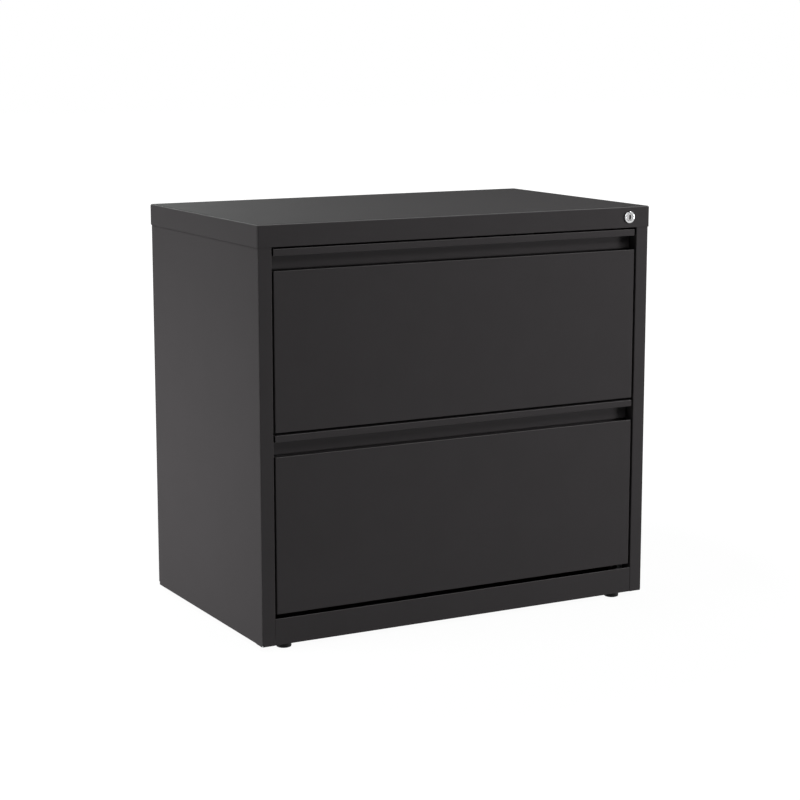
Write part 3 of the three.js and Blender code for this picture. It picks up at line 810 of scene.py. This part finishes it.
def makeDrawerPulls():
    low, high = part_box("upper_drawer_pull")
    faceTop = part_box("upper_drawer_face")[1].z
    stripZ = high.z - drawerPull["strip"]
    slotZ = low.z + drawerPull["weldFlange"]
    slotTop = faceTop + drawerPull["slotTop"]
    recessY = low.y + drawerPull["recess"]
    slotY = recessY + drawerPull["slotStep"]
    weldY = low.y + drawerPull["weldBack"]
    pull = addSheet("upperDrawerPull", (low.x, high.x), low.y, (stripZ, high.z), faces=-1)
    editOn(pull)
    foldOut((0, high.y - low.y, 0), {"z": high.z})
    foldOut((0, recessY - low.y, 0), {"y": low.y, "z": stripZ})
    foldOn((0, 0, slotTop - stripZ))
    foldOn((0, slotY - recessY, 0))
    foldOn((0, 0, slotZ - slotTop))
    foldOn((0, weldY - slotY, 0))
    foldOn((0, 0, low.z - slotZ))
    notchX, notchZ = high.x - drawerPull["endNotch"], slotTop
    for x in (-notchX, notchX):
        sliceFaces({"x": x}, {"z": (low.z, notchZ)})
    pickFaces({"z": (low.z, notchZ), "x": (low.x, -notchX)}, {"z": (low.z, notchZ), "x": (notchX, high.x)})
    bpy.ops.mesh.delete(type="FACE")
    topBend, gripBend = drawerPull["stripBends"]
    ceilingBend, floorBend = drawerPull["recessBends"]
    roundFolds(topBend, {"y": low.y, "z": high.z})
    roundFolds(gripBend, {"y": low.y, "z": stripZ})
    roundFolds(ceilingBend, {"y": recessY, "z": stripZ}, steps=6)
    lowerBend, upperBend = drawerPull["slotBends"]
    roundFolds(lowerBend, {"y": recessY, "z": slotTop}, steps=4)
    roundFolds(upperBend, {"y": slotY, "z": slotTop}, steps=4)
    roundFolds(floorBend, {"y": slotY, "z": slotZ}, steps=6)
    roundFolds(drawerPull["weldBend"], {"y": weldY, "z": slotZ})
    editOff()
    thicken(pull, drawerPull["sheet"])
    easeEdges(pull, drawerPull["ease"])
    finishLevels(pull, "charcoal_paint", "drawer_pull")


innerFront = {"sheet": 1.0 * mm, "bend": 1.6 * mm, "ease": 0.15 * mm}


def makeInnerFronts():
    low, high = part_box("upper_drawer_inner_front")
    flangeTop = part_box("upper_drawer_pull")[0].z - 1.3 * mm
    wall = addSheet("upperDrawerInnerFront", (low.x, high.x), high.y, (low.z, high.z))
    editOn(wall)
    sliceFaces({"z": flangeTop}, {"y": high.y})
    below = (low.z, flangeTop)
    foldOut((0, low.y - high.y, 0), {"x": low.x, "z": below}, {"x": high.x, "z": below}, {"z": low.z})
    roundFolds(
        innerFront["bend"],
        {"x": low.x, "y": high.y, "z": below},
        {"x": high.x, "y": high.y, "z": below},
        {"y": high.y, "z": low.z},
        {"x": low.x, "z": low.z},
        {"x": high.x, "z": low.z},
    )
    editOff()
    thicken(wall, innerFront["sheet"])
    easeEdges(wall, innerFront["ease"])
    finishLevels(wall, "charcoal_paint", "drawer_inner_front")


traySide = {
    "sheet": 1.0 * mm,
    "bend": 1.5 * mm,
    "topHem": 6 * mm,
    "hemDrop": 4 * mm,
    "ease": 0.15 * mm,
    "fields": ((24 * mm, 72 * mm), (150 * mm, 190 * mm)),  # heights above the bottom flange
    "fieldEnds": 40 * mm,
    "slope": 5 * mm,
    "pressed": 1.6 * mm,
    "strikeEase": 0.3 * mm,
}


def makeTraySides():
    low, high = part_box("upper_drawer_left_side")
    left = addSheet("upperDrawerLeftSide", low.x, (low.y, high.y), (low.z, high.z), faces=-1)
    editOn(left)
    for bottom, top in traySide["fields"]:
        ends = (low.y + traySide["fieldEnds"], high.y - traySide["fieldEnds"])
        field = {"y": ends, "z": (low.z + bottom, low.z + top)}
        pressField({"x": low.x}, field, traySide["slope"], traySide["pressed"])
    foldOut((high.x - low.x, 0, 0), {"z": low.z})
    foldOut((traySide["topHem"], 0, 0), {"x": low.x, "z": high.z})
    foldOn((0, 0, -traySide["hemDrop"]))
    roundFolds(traySide["bend"], {"x": low.x, "z": low.z}, {"x": low.x, "z": high.z})
    roundFolds(traySide["bend"], {"x": low.x + traySide["topHem"], "z": high.z})
    editOff()
    thicken(left, traySide["sheet"])
    easeEdges(left, traySide["ease"])
    right = copyPiece(left, "upperDrawerRightSide", mirror=True)
    barLow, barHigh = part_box("lock_bar")
    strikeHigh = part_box("upper_drawer_right_side")[1]
    strikeY = barHigh.y + 1.5 * mm  # a little behind the lock bar's hook
    strikeZ = high.z - 42 * mm
    strike = addBlock("strike", (-low.x - 0.5 * mm, strikeHigh.x), (strikeY, strikeY + 1.5 * mm), (strikeZ, strikeZ + 12 * mm))
    easeEdges(strike, traySide["strikeEase"])
    joinPieces(right, [strike])
    finishLevels(left, "charcoal_paint", "drawer_left_side")
    finishLevels(right, "charcoal_paint", "drawer_right_side")


trayBottom = {"sheet": 1.0 * mm, "ease": 0.15 * mm, "ribs": 5, "ribWidth": 36 * mm, "ribEnds": 45 * mm, "slope": 6 * mm, "lift": 1.6 * mm}


def makeTrayBottoms():
    low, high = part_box("upper_drawer_bottom")
    bottom = addSheet("upperDrawerBottom", (low.x, high.x), (low.y, high.y), high.z)
    editOn(bottom)
    pitch = (high.x - low.x) / trayBottom["ribs"]
    for i in range(trayBottom["ribs"]):
        middle = low.x + (i + 0.5) * pitch
        half = trayBottom["ribWidth"] / 2
        field = {"x": (middle - half, middle + half), "y": (low.y + trayBottom["ribEnds"], high.y - trayBottom["ribEnds"])}
        pressField({"z": high.z}, field, trayBottom["slope"], trayBottom["lift"])
    editOff()
    thicken(bottom, trayBottom["sheet"])
    easeEdges(bottom, trayBottom["ease"])
    finishLevels(bottom, "charcoal_paint", "drawer_bottom")


trayBack = {"sheet": 1.0 * mm, "ease": 0.15 * mm, "hem": 5 * mm, "hemDrop": 5 * mm, "bend": 1.5 * mm, "margin": 45 * mm, "slope": 6 * mm, "pressed": 2 * mm}


def makeTrayBacks():
    low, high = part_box("upper_drawer_back")
    back = addSheet("upperDrawerBack", (low.x, high.x), low.y, (low.z, high.z), faces=-1)
    margin = trayBack["margin"]
    editOn(back)
    field = {"x": (low.x + margin, high.x - margin), "z": (low.z + margin, high.z - margin)}
    pressField({"y": low.y}, field, trayBack["slope"], trayBack["pressed"])
    foldOut((0, trayBack["hem"], 0), {"y": low.y, "z": high.z})
    foldOn((0, 0, -trayBack["hemDrop"]))
    roundFolds(trayBack["bend"], {"y": low.y, "z": high.z}, {"y": low.y + trayBack["hem"], "z": high.z})
    editOff()
    thicken(back, trayBack["sheet"])
    easeEdges(back, trayBack["ease"])
    finishLevels(back, "charcoal_paint", "drawer_back")


hangRail = {"sheet": 1.2 * mm, "lip": 8 * mm, "bend": 1.6 * mm, "ease": 0.2 * mm}


def makeHangRails():
    for end, towards in (("front", 1), ("rear", -1)):
        low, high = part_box(f"upper_{end}_hang_rail")
        footY = low.y if towards > 0 else high.y
        lipY = footY + towards * (high.y - low.y - hangRail["sheet"])
        shelf = high.z - hangRail["lip"]
        rail = addSheet(f"upper{end.title()}HangRail", (low.x, high.x), footY, (low.z, shelf), faces=-towards)
        editOn(rail)
        foldOut((0, lipY - footY, 0), {"z": shelf})
        foldOn((0, 0, high.z - shelf))
        roundFolds(hangRail["bend"], {"y": footY, "z": shelf}, {"y": lipY, "z": shelf})
        editOff()
        thicken(rail, hangRail["sheet"])
        easeEdges(rail, hangRail["ease"])
        finishLevels(rail, "charcoal_paint", f"{end}_hang_rail")


makeDrawerFaces()
makeDrawerPulls()
makeInnerFronts()
makeTraySides()
makeTrayBottoms()
makeTrayBacks()
makeHangRails()
print("drawers: faces, pulls, trays and hanger rails")


# Telescoping slides, modelled at the upper right, then mirrored and copied down

slideRail = {
    "sheet": 1.2 * mm,
    "webBend": 2.6 * mm,
    "tipBend": 1.3 * mm,
    "lip": 3.2 * mm,
    "ease": 0.15 * mm,
    "hole": 2.6 * mm,
    "holeEnds": 34 * mm,
    "slot": (5 * mm, 26 * mm),
    "rivet": 3.6 * mm,
    "rivetRise": 1.1 * mm,
}


def finishSlides(right, slot, node, body):  # right and left, upper and lower
    left = copyPiece(right, right.name.replace("Right", "Left"), mirror=True)
    for side, piece in (("right", right), ("left", left)):
        lower = copyPiece(piece, piece.name.replace("upper", "lower"), move=drop)
        for level, made in zip(levels, (piece, lower)):
            finishPiece(made, body.format(level=level), slot, f"{level}_{side}_{node}")


def spread(low, high, count, ends):  # evenly spaced places between two ends
    return [low + ends + i * (high - low - 2 * ends) / (count - 1) for i in range(count)]


def addWebHoles(rail, webX, low, high, holes, slots):
    middleZ = (low.z + high.z) / 2
    cutters = []
    for y in spread(low.y, high.y, holes, slideRail["holeEnds"]):
        cutters.append(addRound("hole", slideRail["hole"], 6 * mm, (webX, y, middleZ), "x", corners=24))
    tall, long = slideRail["slot"]
    for y in spread(low.y, high.y, slots, 3 * slideRail["holeEnds"]):
        slot = addBlock("slot", (webX - 3 * mm, webX + 3 * mm), (y - long / 2, y + long / 2), (middleZ - tall / 2, middleZ + tall / 2))
        editOn(slot)
        ends = [{"y": place, "z": z} for place in (y - long / 2, y + long / 2) for z in (middleZ - tall / 2, middleZ + tall / 2)]
        roundFolds(tall * 0.49, *ends)
        editOff()
        cutters.append(slot)
    cutAway(rail, cutters)


def makeCaseRails():
    low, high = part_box("upper_right_case_rail")
    rail = addSheet("upperRightCaseRail", high.x, (low.y, high.y), (low.z, high.z))
    editOn(rail)
    for z, lip in ((high.z, -slideRail["lip"]), (low.z, slideRail["lip"])):
        foldOut((low.x - high.x, 0, 0), {"x": high.x, "z": z})
        foldOn((0, 0, lip))
    roundFolds(slideRail["webBend"], {"x": high.x, "z": low.z}, {"x": high.x, "z": high.z})
    roundFolds(slideRail["tipBend"], {"x": low.x, "z": low.z}, {"x": low.x, "z": high.z})
    editOff()
    thicken(rail, slideRail["sheet"])
    addWebHoles(rail, high.x, low, high, holes=4, slots=2)
    easeEdges(rail, slideRail["ease"], steps=1)
    finishSlides(rail, "zinc_plate", "case_rail", "case")


def makeMiddleRails():
    low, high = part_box("upper_right_middle_rail")
    rail = addSheet("upperRightMiddleRail", high.x, (low.y, high.y), (low.z, high.z))
    editOn(rail)
    foldOut((low.x - high.x, 0, 0), {"x": high.x, "z": low.z}, {"x": high.x, "z": high.z})
    roundFolds(slideRail["webBend"], {"x": high.x, "z": low.z}, {"x": high.x, "z": high.z})
    editOff()
    thicken(rail, slideRail["sheet"])
    addWebHoles(rail, high.x, low, high, holes=3, slots=4)
    easeEdges(rail, slideRail["ease"], steps=1)
    finishSlides(rail, "zinc_plate", "middle_rail", "{level}_middle_rails")


def makeDrawerRails():
    low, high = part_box("upper_right_drawer_rail")
    rail = addSheet("upperRightDrawerRail", low.x, (low.y, high.y), (low.z, high.z), faces=-1)
    editOn(rail)
    foldOut((high.x - low.x, 0, 0), {"x": low.x, "z": low.z}, {"x": low.x, "z": high.z})
    roundFolds(slideRail["webBend"], {"x": low.x, "z": low.z}, {"x": low.x, "z": high.z})
    editOff()
    thicken(rail, slideRail["sheet"])
    addWebHoles(rail, low.x, low, high, holes=2, slots=3)
    easeEdges(rail, slideRail["ease"], steps=1)
    webX, middleZ = low.x + slideRail["sheet"], (low.z + high.z) / 2
    outline = [(0, slideRail["rivetRise"])]
    for i in range(1, 6):  # a low dome
        angle = quarterTurn * i / 5
        outline.append((slideRail["rivet"] * math.sin(angle), slideRail["rivetRise"] * math.cos(angle)))
    outline.append((0, 0))
    rivets = []
    for y in spread(low.y, high.y, 4, 1.6 * slideRail["holeEnds"]):
        rivets.append(spinProfile("rivet", outline, (webX, y, middleZ), "x", steps=20))
    joinPieces(rail, rivets)
    finishSlides(rail, "zinc_plate", "drawer_rail", "{level}_drawer")


ballCage = {"sheet": 0.8 * mm, "reach": 5.4 * mm, "ball": 2.0 * mm, "balls": 10, "bend": 1.0 * mm, "ease": 0.1 * mm}


def makeBallCages():
    for place in ("outer", "inner"):
        low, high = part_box(f"upper_right_{place}_ball_cage")
        ball = ballCage["ball"]
        races = (low.z + ball, high.z - ball)
        earZ = (races[0] - ballCage["sheet"] / 2, races[1] + ballCage["sheet"] / 2)
        cage = addSheet(f"upperRight{place.title()}BallCage", high.x, (low.y, high.y), earZ)
        editOn(cage)
        foldOut((-ballCage["reach"], 0, 0), *({"x": high.x, "z": z} for z in earZ))
        roundFolds(ballCage["bend"], *({"x": high.x, "z": z} for z in earZ), steps=3)
        editOff()
        thicken(cage, ballCage["sheet"])
        easeEdges(cage, ballCage["ease"], steps=1)
        balls = []
        for y in spread(low.y, high.y, ballCage["balls"], 9.5 * mm):
            for z in races:
                deselectAll()
                bpy.ops.mesh.primitive_uv_sphere_add(segments=16, ring_count=10, radius=ball, location=(high.x - ballCage["reach"] + ball, y, z))
                balls.append(named("ball"))
                bpy.ops.object.transform_apply(location=True, rotation=True, scale=True)
        joinPieces(cage, balls)
        finishSlides(cage, "bright_steel", f"{place}_ball_cage", "{level}_" + place + "_ball_cages")


makeCaseRails()
makeMiddleRails()
makeDrawerRails()
makeBallCages()
print("slides: rails and ball cages")


# Lock

lockHousing = {
    "proud": 2.5 * mm,
    "flange": 10.4 * mm,
    "barrel": 8.5 * mm,
    "bore": 6.8 * mm,
    "chamfer": 0.9 * mm,
    "seat": 0.3 * mm,
    "length": 24 * mm,
    "notch": (4.6 * mm, 2.6 * mm),
    "notchAside": 2.6 * mm,
    "ease": 0.12 * mm,
}


def makeLockHousing():
    proud, flange, chamfer = -lockHousing["proud"], lockHousing["flange"], lockHousing["chamfer"]
    bore, barrel = lockHousing["bore"], lockHousing["barrel"]
    outline = [
        (bore, proud + 0.5 * mm),
        (bore + 0.5 * mm, proud),
        (flange - chamfer, proud),
        (flange - 0.3 * chamfer, proud + 0.3 * chamfer),
        (flange, proud + chamfer),
        (flange, -lockHousing["seat"]),
        (barrel, -lockHousing["seat"]),
        (barrel, lockHousing["length"]),
        (bore, lockHousing["length"]),
        (bore, proud + 0.5 * mm),
    ]
    housing = spinProfile("lockHousing", outline, lockMiddle, "y", steps=96)
    wide, deep = lockHousing["notch"]
    frontY = lockMiddle.y + proud
    notchX = lockMiddle.x - lockHousing["notchAside"]
    notch = addBlock(  # the mark that the key points to when unlocked
        "notch",
        (notchX - wide / 2, notchX + wide / 2),
        (frontY - deep, frontY + deep),
        (lockMiddle.z + bore + 1 * mm, lockMiddle.z + flange + 1 * mm),
    )
    cutAway(housing, [notch])
    easeEdges(housing, lockHousing["ease"], angle=35)
    finishPiece(housing, "case", "polished_chrome", "lock_housing")


lockPlug = {
    "radius": 6.5 * mm,
    "chamfer": 0.5 * mm,
    "keyway": (3.6 * mm, 8.4 * mm),
    "keyAside": 0.5 * mm,
    "ward": (0.6 * mm, 2.6 * mm),
    "keyDepth": 18 * mm,
    "ease": 0.1 * mm,
    "keyholeShade": (0.3 * mm, 1.5 * mm),  # a black plate this far behind the plug's face, put there as painted shade in the keyway
}


def makeLockPlug():
    low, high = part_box("lock_plug")
    radius, chamfer = lockPlug["radius"], lockPlug["chamfer"]
    front, back = low.y - lockMiddle.y, high.y - lockMiddle.y
    outline = [(0, front), (radius - chamfer, front), (radius, front + chamfer), (radius, back), (0, back)]
    plug = spinProfile("lockPlug", outline, lockMiddle, "y", steps=72)
    x, z = lockMiddle.x + lockPlug["keyAside"], lockMiddle.z
    wide, tall = lockPlug["keyway"]
    wardWide, wardTall = lockPlug["ward"]
    keyY = (low.y - 1 * mm, low.y + lockPlug["keyDepth"])
    keyway = addBlock("keyway", (x - wide / 2, x + wide / 2), keyY, (z - tall / 2, z + tall / 2))
    ward = addBlock("ward", (x, x + wide / 2 + wardWide), keyY, (z - wardTall / 2, z + wardTall / 2))
    weldOn(keyway, ward)
    cutAway(plug, [keyway])
    easeEdges(plug, lockPlug["ease"], angle=40)
    finishPiece(plug, "lock_cylinder", "polished_chrome", "lock_plug")
    # a black plate just inside the keyway stands in for the shade deep in the keyhole: painted shade
    front, back = (low.y + place for place in lockPlug["keyholeShade"])
    keyholeShade = addBlock("keyholeShadePlate", (x - wide / 2, x + wide / 2), (front, back), (z - tall / 2, z + tall / 2))
    wardShade = addBlock("wardShadePlate", (x, x + wide / 2 + wardWide), (front, back), (z - wardTall / 2, z + wardTall / 2))
    weldOn(keyholeShade, wardShade)
    easeEdges(keyholeShade, lockPlug["ease"])
    finishPiece(keyholeShade, "lock_cylinder", "black_nylon")


lockNut = {"bore": 8.7 * mm, "ease": 0.5 * mm}


def makeLockNut():
    low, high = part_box("lock_nut")
    middle = (lockMiddle.x, (low.y + high.y) / 2, lockMiddle.z)
    nut = addRound("lockNut", (high.z - low.z) / 2, high.y - low.y, middle, "y", corners=6)
    cutAway(nut, [addRound("nutBore", lockNut["bore"], 20 * mm, middle, "y")])
    easeEdges(nut, lockNut["ease"])
    finishPiece(nut, "case", "zinc_plate", "lock_nut")


lockCam = {
    "hub": 6 * mm,
    "arm": 3 * mm,
    "pin": 2 * mm,
    "sheet": 2 * mm,
    "ease": 0.25 * mm,
    "screw": 3.4 * mm,
    "screwHead": 2.2 * mm,
}


def makeLockCam():
    low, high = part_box("lock_cam")
    pinX, pinZ = high.x - lockCam["arm"], low.z + lockCam["arm"]
    across, down = pinX - lockMiddle.x, lockMiddle.z - pinZ
    plateY = (low.y, low.y + lockCam["sheet"])
    hubMiddle = (lockMiddle.x, sum(plateY) / 2, lockMiddle.z)
    cam = addRound("lockCam", lockCam["hub"], lockCam["sheet"], hubMiddle, "y", corners=40)
    arm = addRound("camArm", lockCam["arm"], lockCam["sheet"] - 0.2 * mm, hubMiddle, "y", corners=40)
    editOn(arm)
    pickFaces({"x": (lockMiddle.x, high.x)})
    bpy.ops.transform.translate(value=(math.hypot(across, down), 0, 0))
    bpy.ops.mesh.select_all(action="SELECT")
    bpy.ops.transform.rotate(value=-math.atan2(down, across), orient_axis="Y", center_override=lockMiddle)
    editOff()
    weldOn(cam, arm)
    pinY = (sum(plateY) / 2, high.y)
    weldOn(cam, addRound("camPin", lockCam["pin"], pinY[1] - pinY[0], (pinX, sum(pinY) / 2, pinZ), "y", corners=24))
    screwY = (sum(plateY) / 2, plateY[1] + lockCam["screwHead"])
    screwMiddle = (lockMiddle.x, sum(screwY) / 2, lockMiddle.z)
    weldOn(cam, addRound("camScrew", lockCam["screw"], screwY[1] - screwY[0], screwMiddle, "y", corners=6))
    easeEdges(cam, lockCam["ease"])
    finishPiece(cam, "lock_cylinder", "zinc_plate", "lock_cam")


lockBar = {
    "sheet": 2.5 * mm,
    "width": 12 * mm,
    "armHeight": 12 * mm,
    "slot": (8.33 * mm, 5.4 * mm),
    "slotWall": 3 * mm,
    "hookReach": 14 * mm,
    "hookHeight": 8 * mm,
    "hookRise": 204.25 * mm,
    "corner": 1.6 * mm,
    "ease": 0.3 * mm,
}


def makeLockBar():
    low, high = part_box("lock_bar")
    stripX = high.x - lockBar["width"]
    bar = addSheet("lockBar", (stripX, high.x), low.y, (low.z, high.z), faces=-1)
    tabs = [(low.x, high.z - lockBar["armHeight"], high.z)]
    for level in levels:
        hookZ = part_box(f"{level}_drawer_face")[0].z + lockBar["hookRise"]
        tabs.append((stripX - lockBar["hookReach"], hookZ, hookZ + lockBar["hookHeight"]))
    editOn(bar)
    for tipX, bottom, top in tabs:
        for z in {bottom, min(top, high.z - lockBar["armHeight"])}:
            sliceFaces({"z": z}, {"y": low.y})
    for tipX, bottom, top in tabs:
        foldOut((tipX - stripX, 0, 0), {"x": stripX, "z": (bottom, top)})
    editOff()
    thicken(bar, lockBar["sheet"])
    editOn(bar)
    tips = [{"x": tipX, "z": z} for tipX, bottom, top in tabs for z in (bottom, top)]
    roundFolds(lockBar["corner"], *tips, *({"x": high.x, "z": z} for z in (low.z, high.z)), {"x": stripX, "z": low.z})
    editOff()
    long, tall = lockBar["slot"]
    slotX = low.x + lockBar["slotWall"]
    slotZ = high.z - lockBar["armHeight"] / 2
    slot = addBlock("slot", (slotX, slotX + long), (low.y - mm, high.y + mm), (slotZ - tall / 2, slotZ + tall / 2))
    cutAway(bar, [slot])
    easeEdges(bar, lockBar["ease"])
    finishPiece(bar, "locking_bar", "zinc_plate", "lock_bar")


barGuide = {"gap": 0.3 * mm, "corner": 1.5 * mm, "ease": 0.3 * mm}


def makeBarGuides():
    low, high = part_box("upper_lock_bar_guide")
    barLow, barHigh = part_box("lock_bar")
    gap = barGuide["gap"]
    guide = addBlock("upperBarGuide", (low.x, high.x), (low.y, high.y), (low.z, high.z))
    editOn(guide)
    roundFolds(barGuide["corner"], {"x": low.x, "y": low.y}, {"x": high.x, "y": low.y})
    editOff()
    slotX = (barHigh.x - lockBar["width"] - gap, barHigh.x + gap)
    slot = addBlock("slot", slotX, (barLow.y - gap, barHigh.y + gap), (low.z - mm, high.z + mm))
    cutAway(guide, [slot])
    easeEdges(guide, barGuide["ease"])
    lower = copyPiece(guide, "lowerBarGuide", move=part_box("lower_lock_bar_guide")[0] - low)
    for level, made in zip(levels, (guide, lower)):
        finishPiece(made, "case", "black_nylon", f"{level}_lock_bar_guide")


makeLockHousing()
makeLockPlug()
makeLockNut()
makeLockCam()
makeLockBar()
makeBarGuides()
print("lock: housing, plug, nut, cam, bar and guides")


# Floor, lamps and camera

camera = {
    "place": (-1.770, -3.267, 1.0263),
    "turn": math.radians(28.479),  # looks along +Y, turned towards +X
    "tilt": math.radians(10.185),  # and down
    "lens": 94.1,
}
floor = {
    "size": 40.0,
    "colour": (0.42, 0.42, 0.42, 1),
    "shadow": 0.14,  # share of the real shadow near the object
    "near": 0.7,
    "far": 1.6,
    "white": 1.12,
}
lamps = {
    "leftStrip": {"place": (-1.3, 0.3, 0.2), "aim": (-0.38, 0.1, 0.1), "size": (1.4, 0.3), "power": 13.3},
    "overhead": {"place": (-1.2, 0.0, 2.05), "aim": (-0.2, 0, 0.71), "size": (0.5, 0.5), "power": 18.3},
    "backGlow": {"place": (0.1, 2.6, 1.15), "aim": (-0.2, 0, 0.71), "size": (0.8, 0.8), "power": 28.6},
    "frontMiddle": {"place": (0.2, -1.9, 2.0), "aim": (-0.1, -0.2, 0.5), "size": (0.5, 0.5), "power": 5.2},
    "frontHigh": {"place": (1.6, -1.6, 1.9), "aim": (0.2, -0.2, 0.5), "size": (0.8, 0.8), "power": 19.4},
    "frontFill": {"place": (3.2, -2.2, 0.45), "aim": (0.1, -0.2, 0.4), "size": (0.8, 0.8), "power": 82},
}
coolLamps = {"overhead": (0.94, 1.0, 0.97), "backGlow": (0.94, 1.0, 0.97)}
ambient = 0.02


def addLamp(name, lamp):
    deselectAll()
    bpy.ops.object.light_add(type="AREA", location=lamp["place"])
    lampObject = bpy.context.object
    lampObject.name = name
    lampObject.data.shape = "RECTANGLE"
    lampObject.data.size, lampObject.data.size_y = lamp["size"]
    lampObject.data.energy = lamp["power"]
    lampObject.data.color = coolLamps.get(name, (1, 1, 1))
    lampObject.visible_camera = False
    aim = Vector(lamp["aim"]) - Vector(lamp["place"])
    lampObject.rotation_euler = aim.to_track_quat("-Z", "Y").to_euler()


def seenDirectly(tree):  # 1 for camera, mirror and glass rays
    path = addNode(tree, "ShaderNodeLightPath")
    seen = addNode(tree, "ShaderNodeMath", operation="MAXIMUM")
    tree.links.new(path.outputs["Is Camera Ray"], seen.inputs[0])
    tree.links.new(path.outputs["Is Glossy Ray"], seen.inputs[1])
    allSeen = addNode(tree, "ShaderNodeMath", operation="MAXIMUM")
    tree.links.new(seen.outputs[0], allSeen.inputs[0])
    tree.links.new(path.outputs["Is Transmission Ray"], allSeen.inputs[1])
    return allSeen.outputs[0]


def addFloor():
    deselectAll()
    bpy.ops.mesh.primitive_plane_add(size=floor["size"], location=(0, 0, 0))
    plane = bpy.context.object
    plane.name = "floor"
    paper = bpy.data.materials.new("whitePaper")
    paper.use_nodes = True
    tree = paper.node_tree
    tree.nodes.clear()
    lit = addNode(tree, "ShaderNodeBsdfDiffuse", {"Color": floor["colour"]})
    white = addNode(tree, "ShaderNodeEmission", {"Color": (1, 1, 1, 1), "Strength": floor["white"]})
    place = addNode(tree, "ShaderNodeTexCoord").outputs["Object"]
    away = addNode(tree, "ShaderNodeVectorMath", {0: place}, operation="LENGTH").outputs["Value"]
    paperShare = addSpread(tree, away, 1 - floor["shadow"], 1.0, span=(floor["near"], floor["far"]))
    share = addNode(tree, "ShaderNodeMath", {0: seenDirectly(tree), 1: paperShare}, operation="MULTIPLY")
    mixed = addNode(tree, "ShaderNodeMixShader", {"Fac": share.outputs[0]})
    tree.links.new(lit.outputs[0], mixed.inputs[1])
    tree.links.new(white.outputs[0], mixed.inputs[2])
    out = addNode(tree, "ShaderNodeOutputMaterial")
    tree.links.new(mixed.outputs[0], out.inputs["Surface"])
    plane.data.materials.append(paper)


def addWorld():
    world = bpy.data.worlds.new("studio")
    bpy.context.scene.world = world
    world.use_nodes = True
    tree = world.node_tree
    tree.nodes.clear()
    dim = addNode(tree, "ShaderNodeBackground", {"Color": (1, 1, 1, 1), "Strength": ambient})
    white = addNode(tree, "ShaderNodeBackground", {"Color": (1, 1, 1, 1), "Strength": 1.0})
    mixed = addNode(tree, "ShaderNodeMixShader", {"Fac": seenDirectly(tree)})
    tree.links.new(dim.outputs[0], mixed.inputs[1])
    tree.links.new(white.outputs[0], mixed.inputs[2])
    out = addNode(tree, "ShaderNodeOutputWorld")
    tree.links.new(mixed.outputs[0], out.inputs["Surface"])


def addCamera():
    deselectAll()
    turn = (math.pi / 2 - camera["tilt"], 0, -camera["turn"])
    bpy.ops.object.camera_add(location=camera["place"], rotation=turn)
    cameraObject = bpy.context.object
    cameraObject.data.lens = camera["lens"]
    cameraObject.data.sensor_width = 36
    bpy.context.scene.camera = cameraObject


bpy.context.scene.view_settings.view_transform = "Standard"
addFloor()
addWorld()
for name, lamp in lamps.items():
    addLamp(name, lamp)
addCamera()
print("stage: floor, lamps and camera")
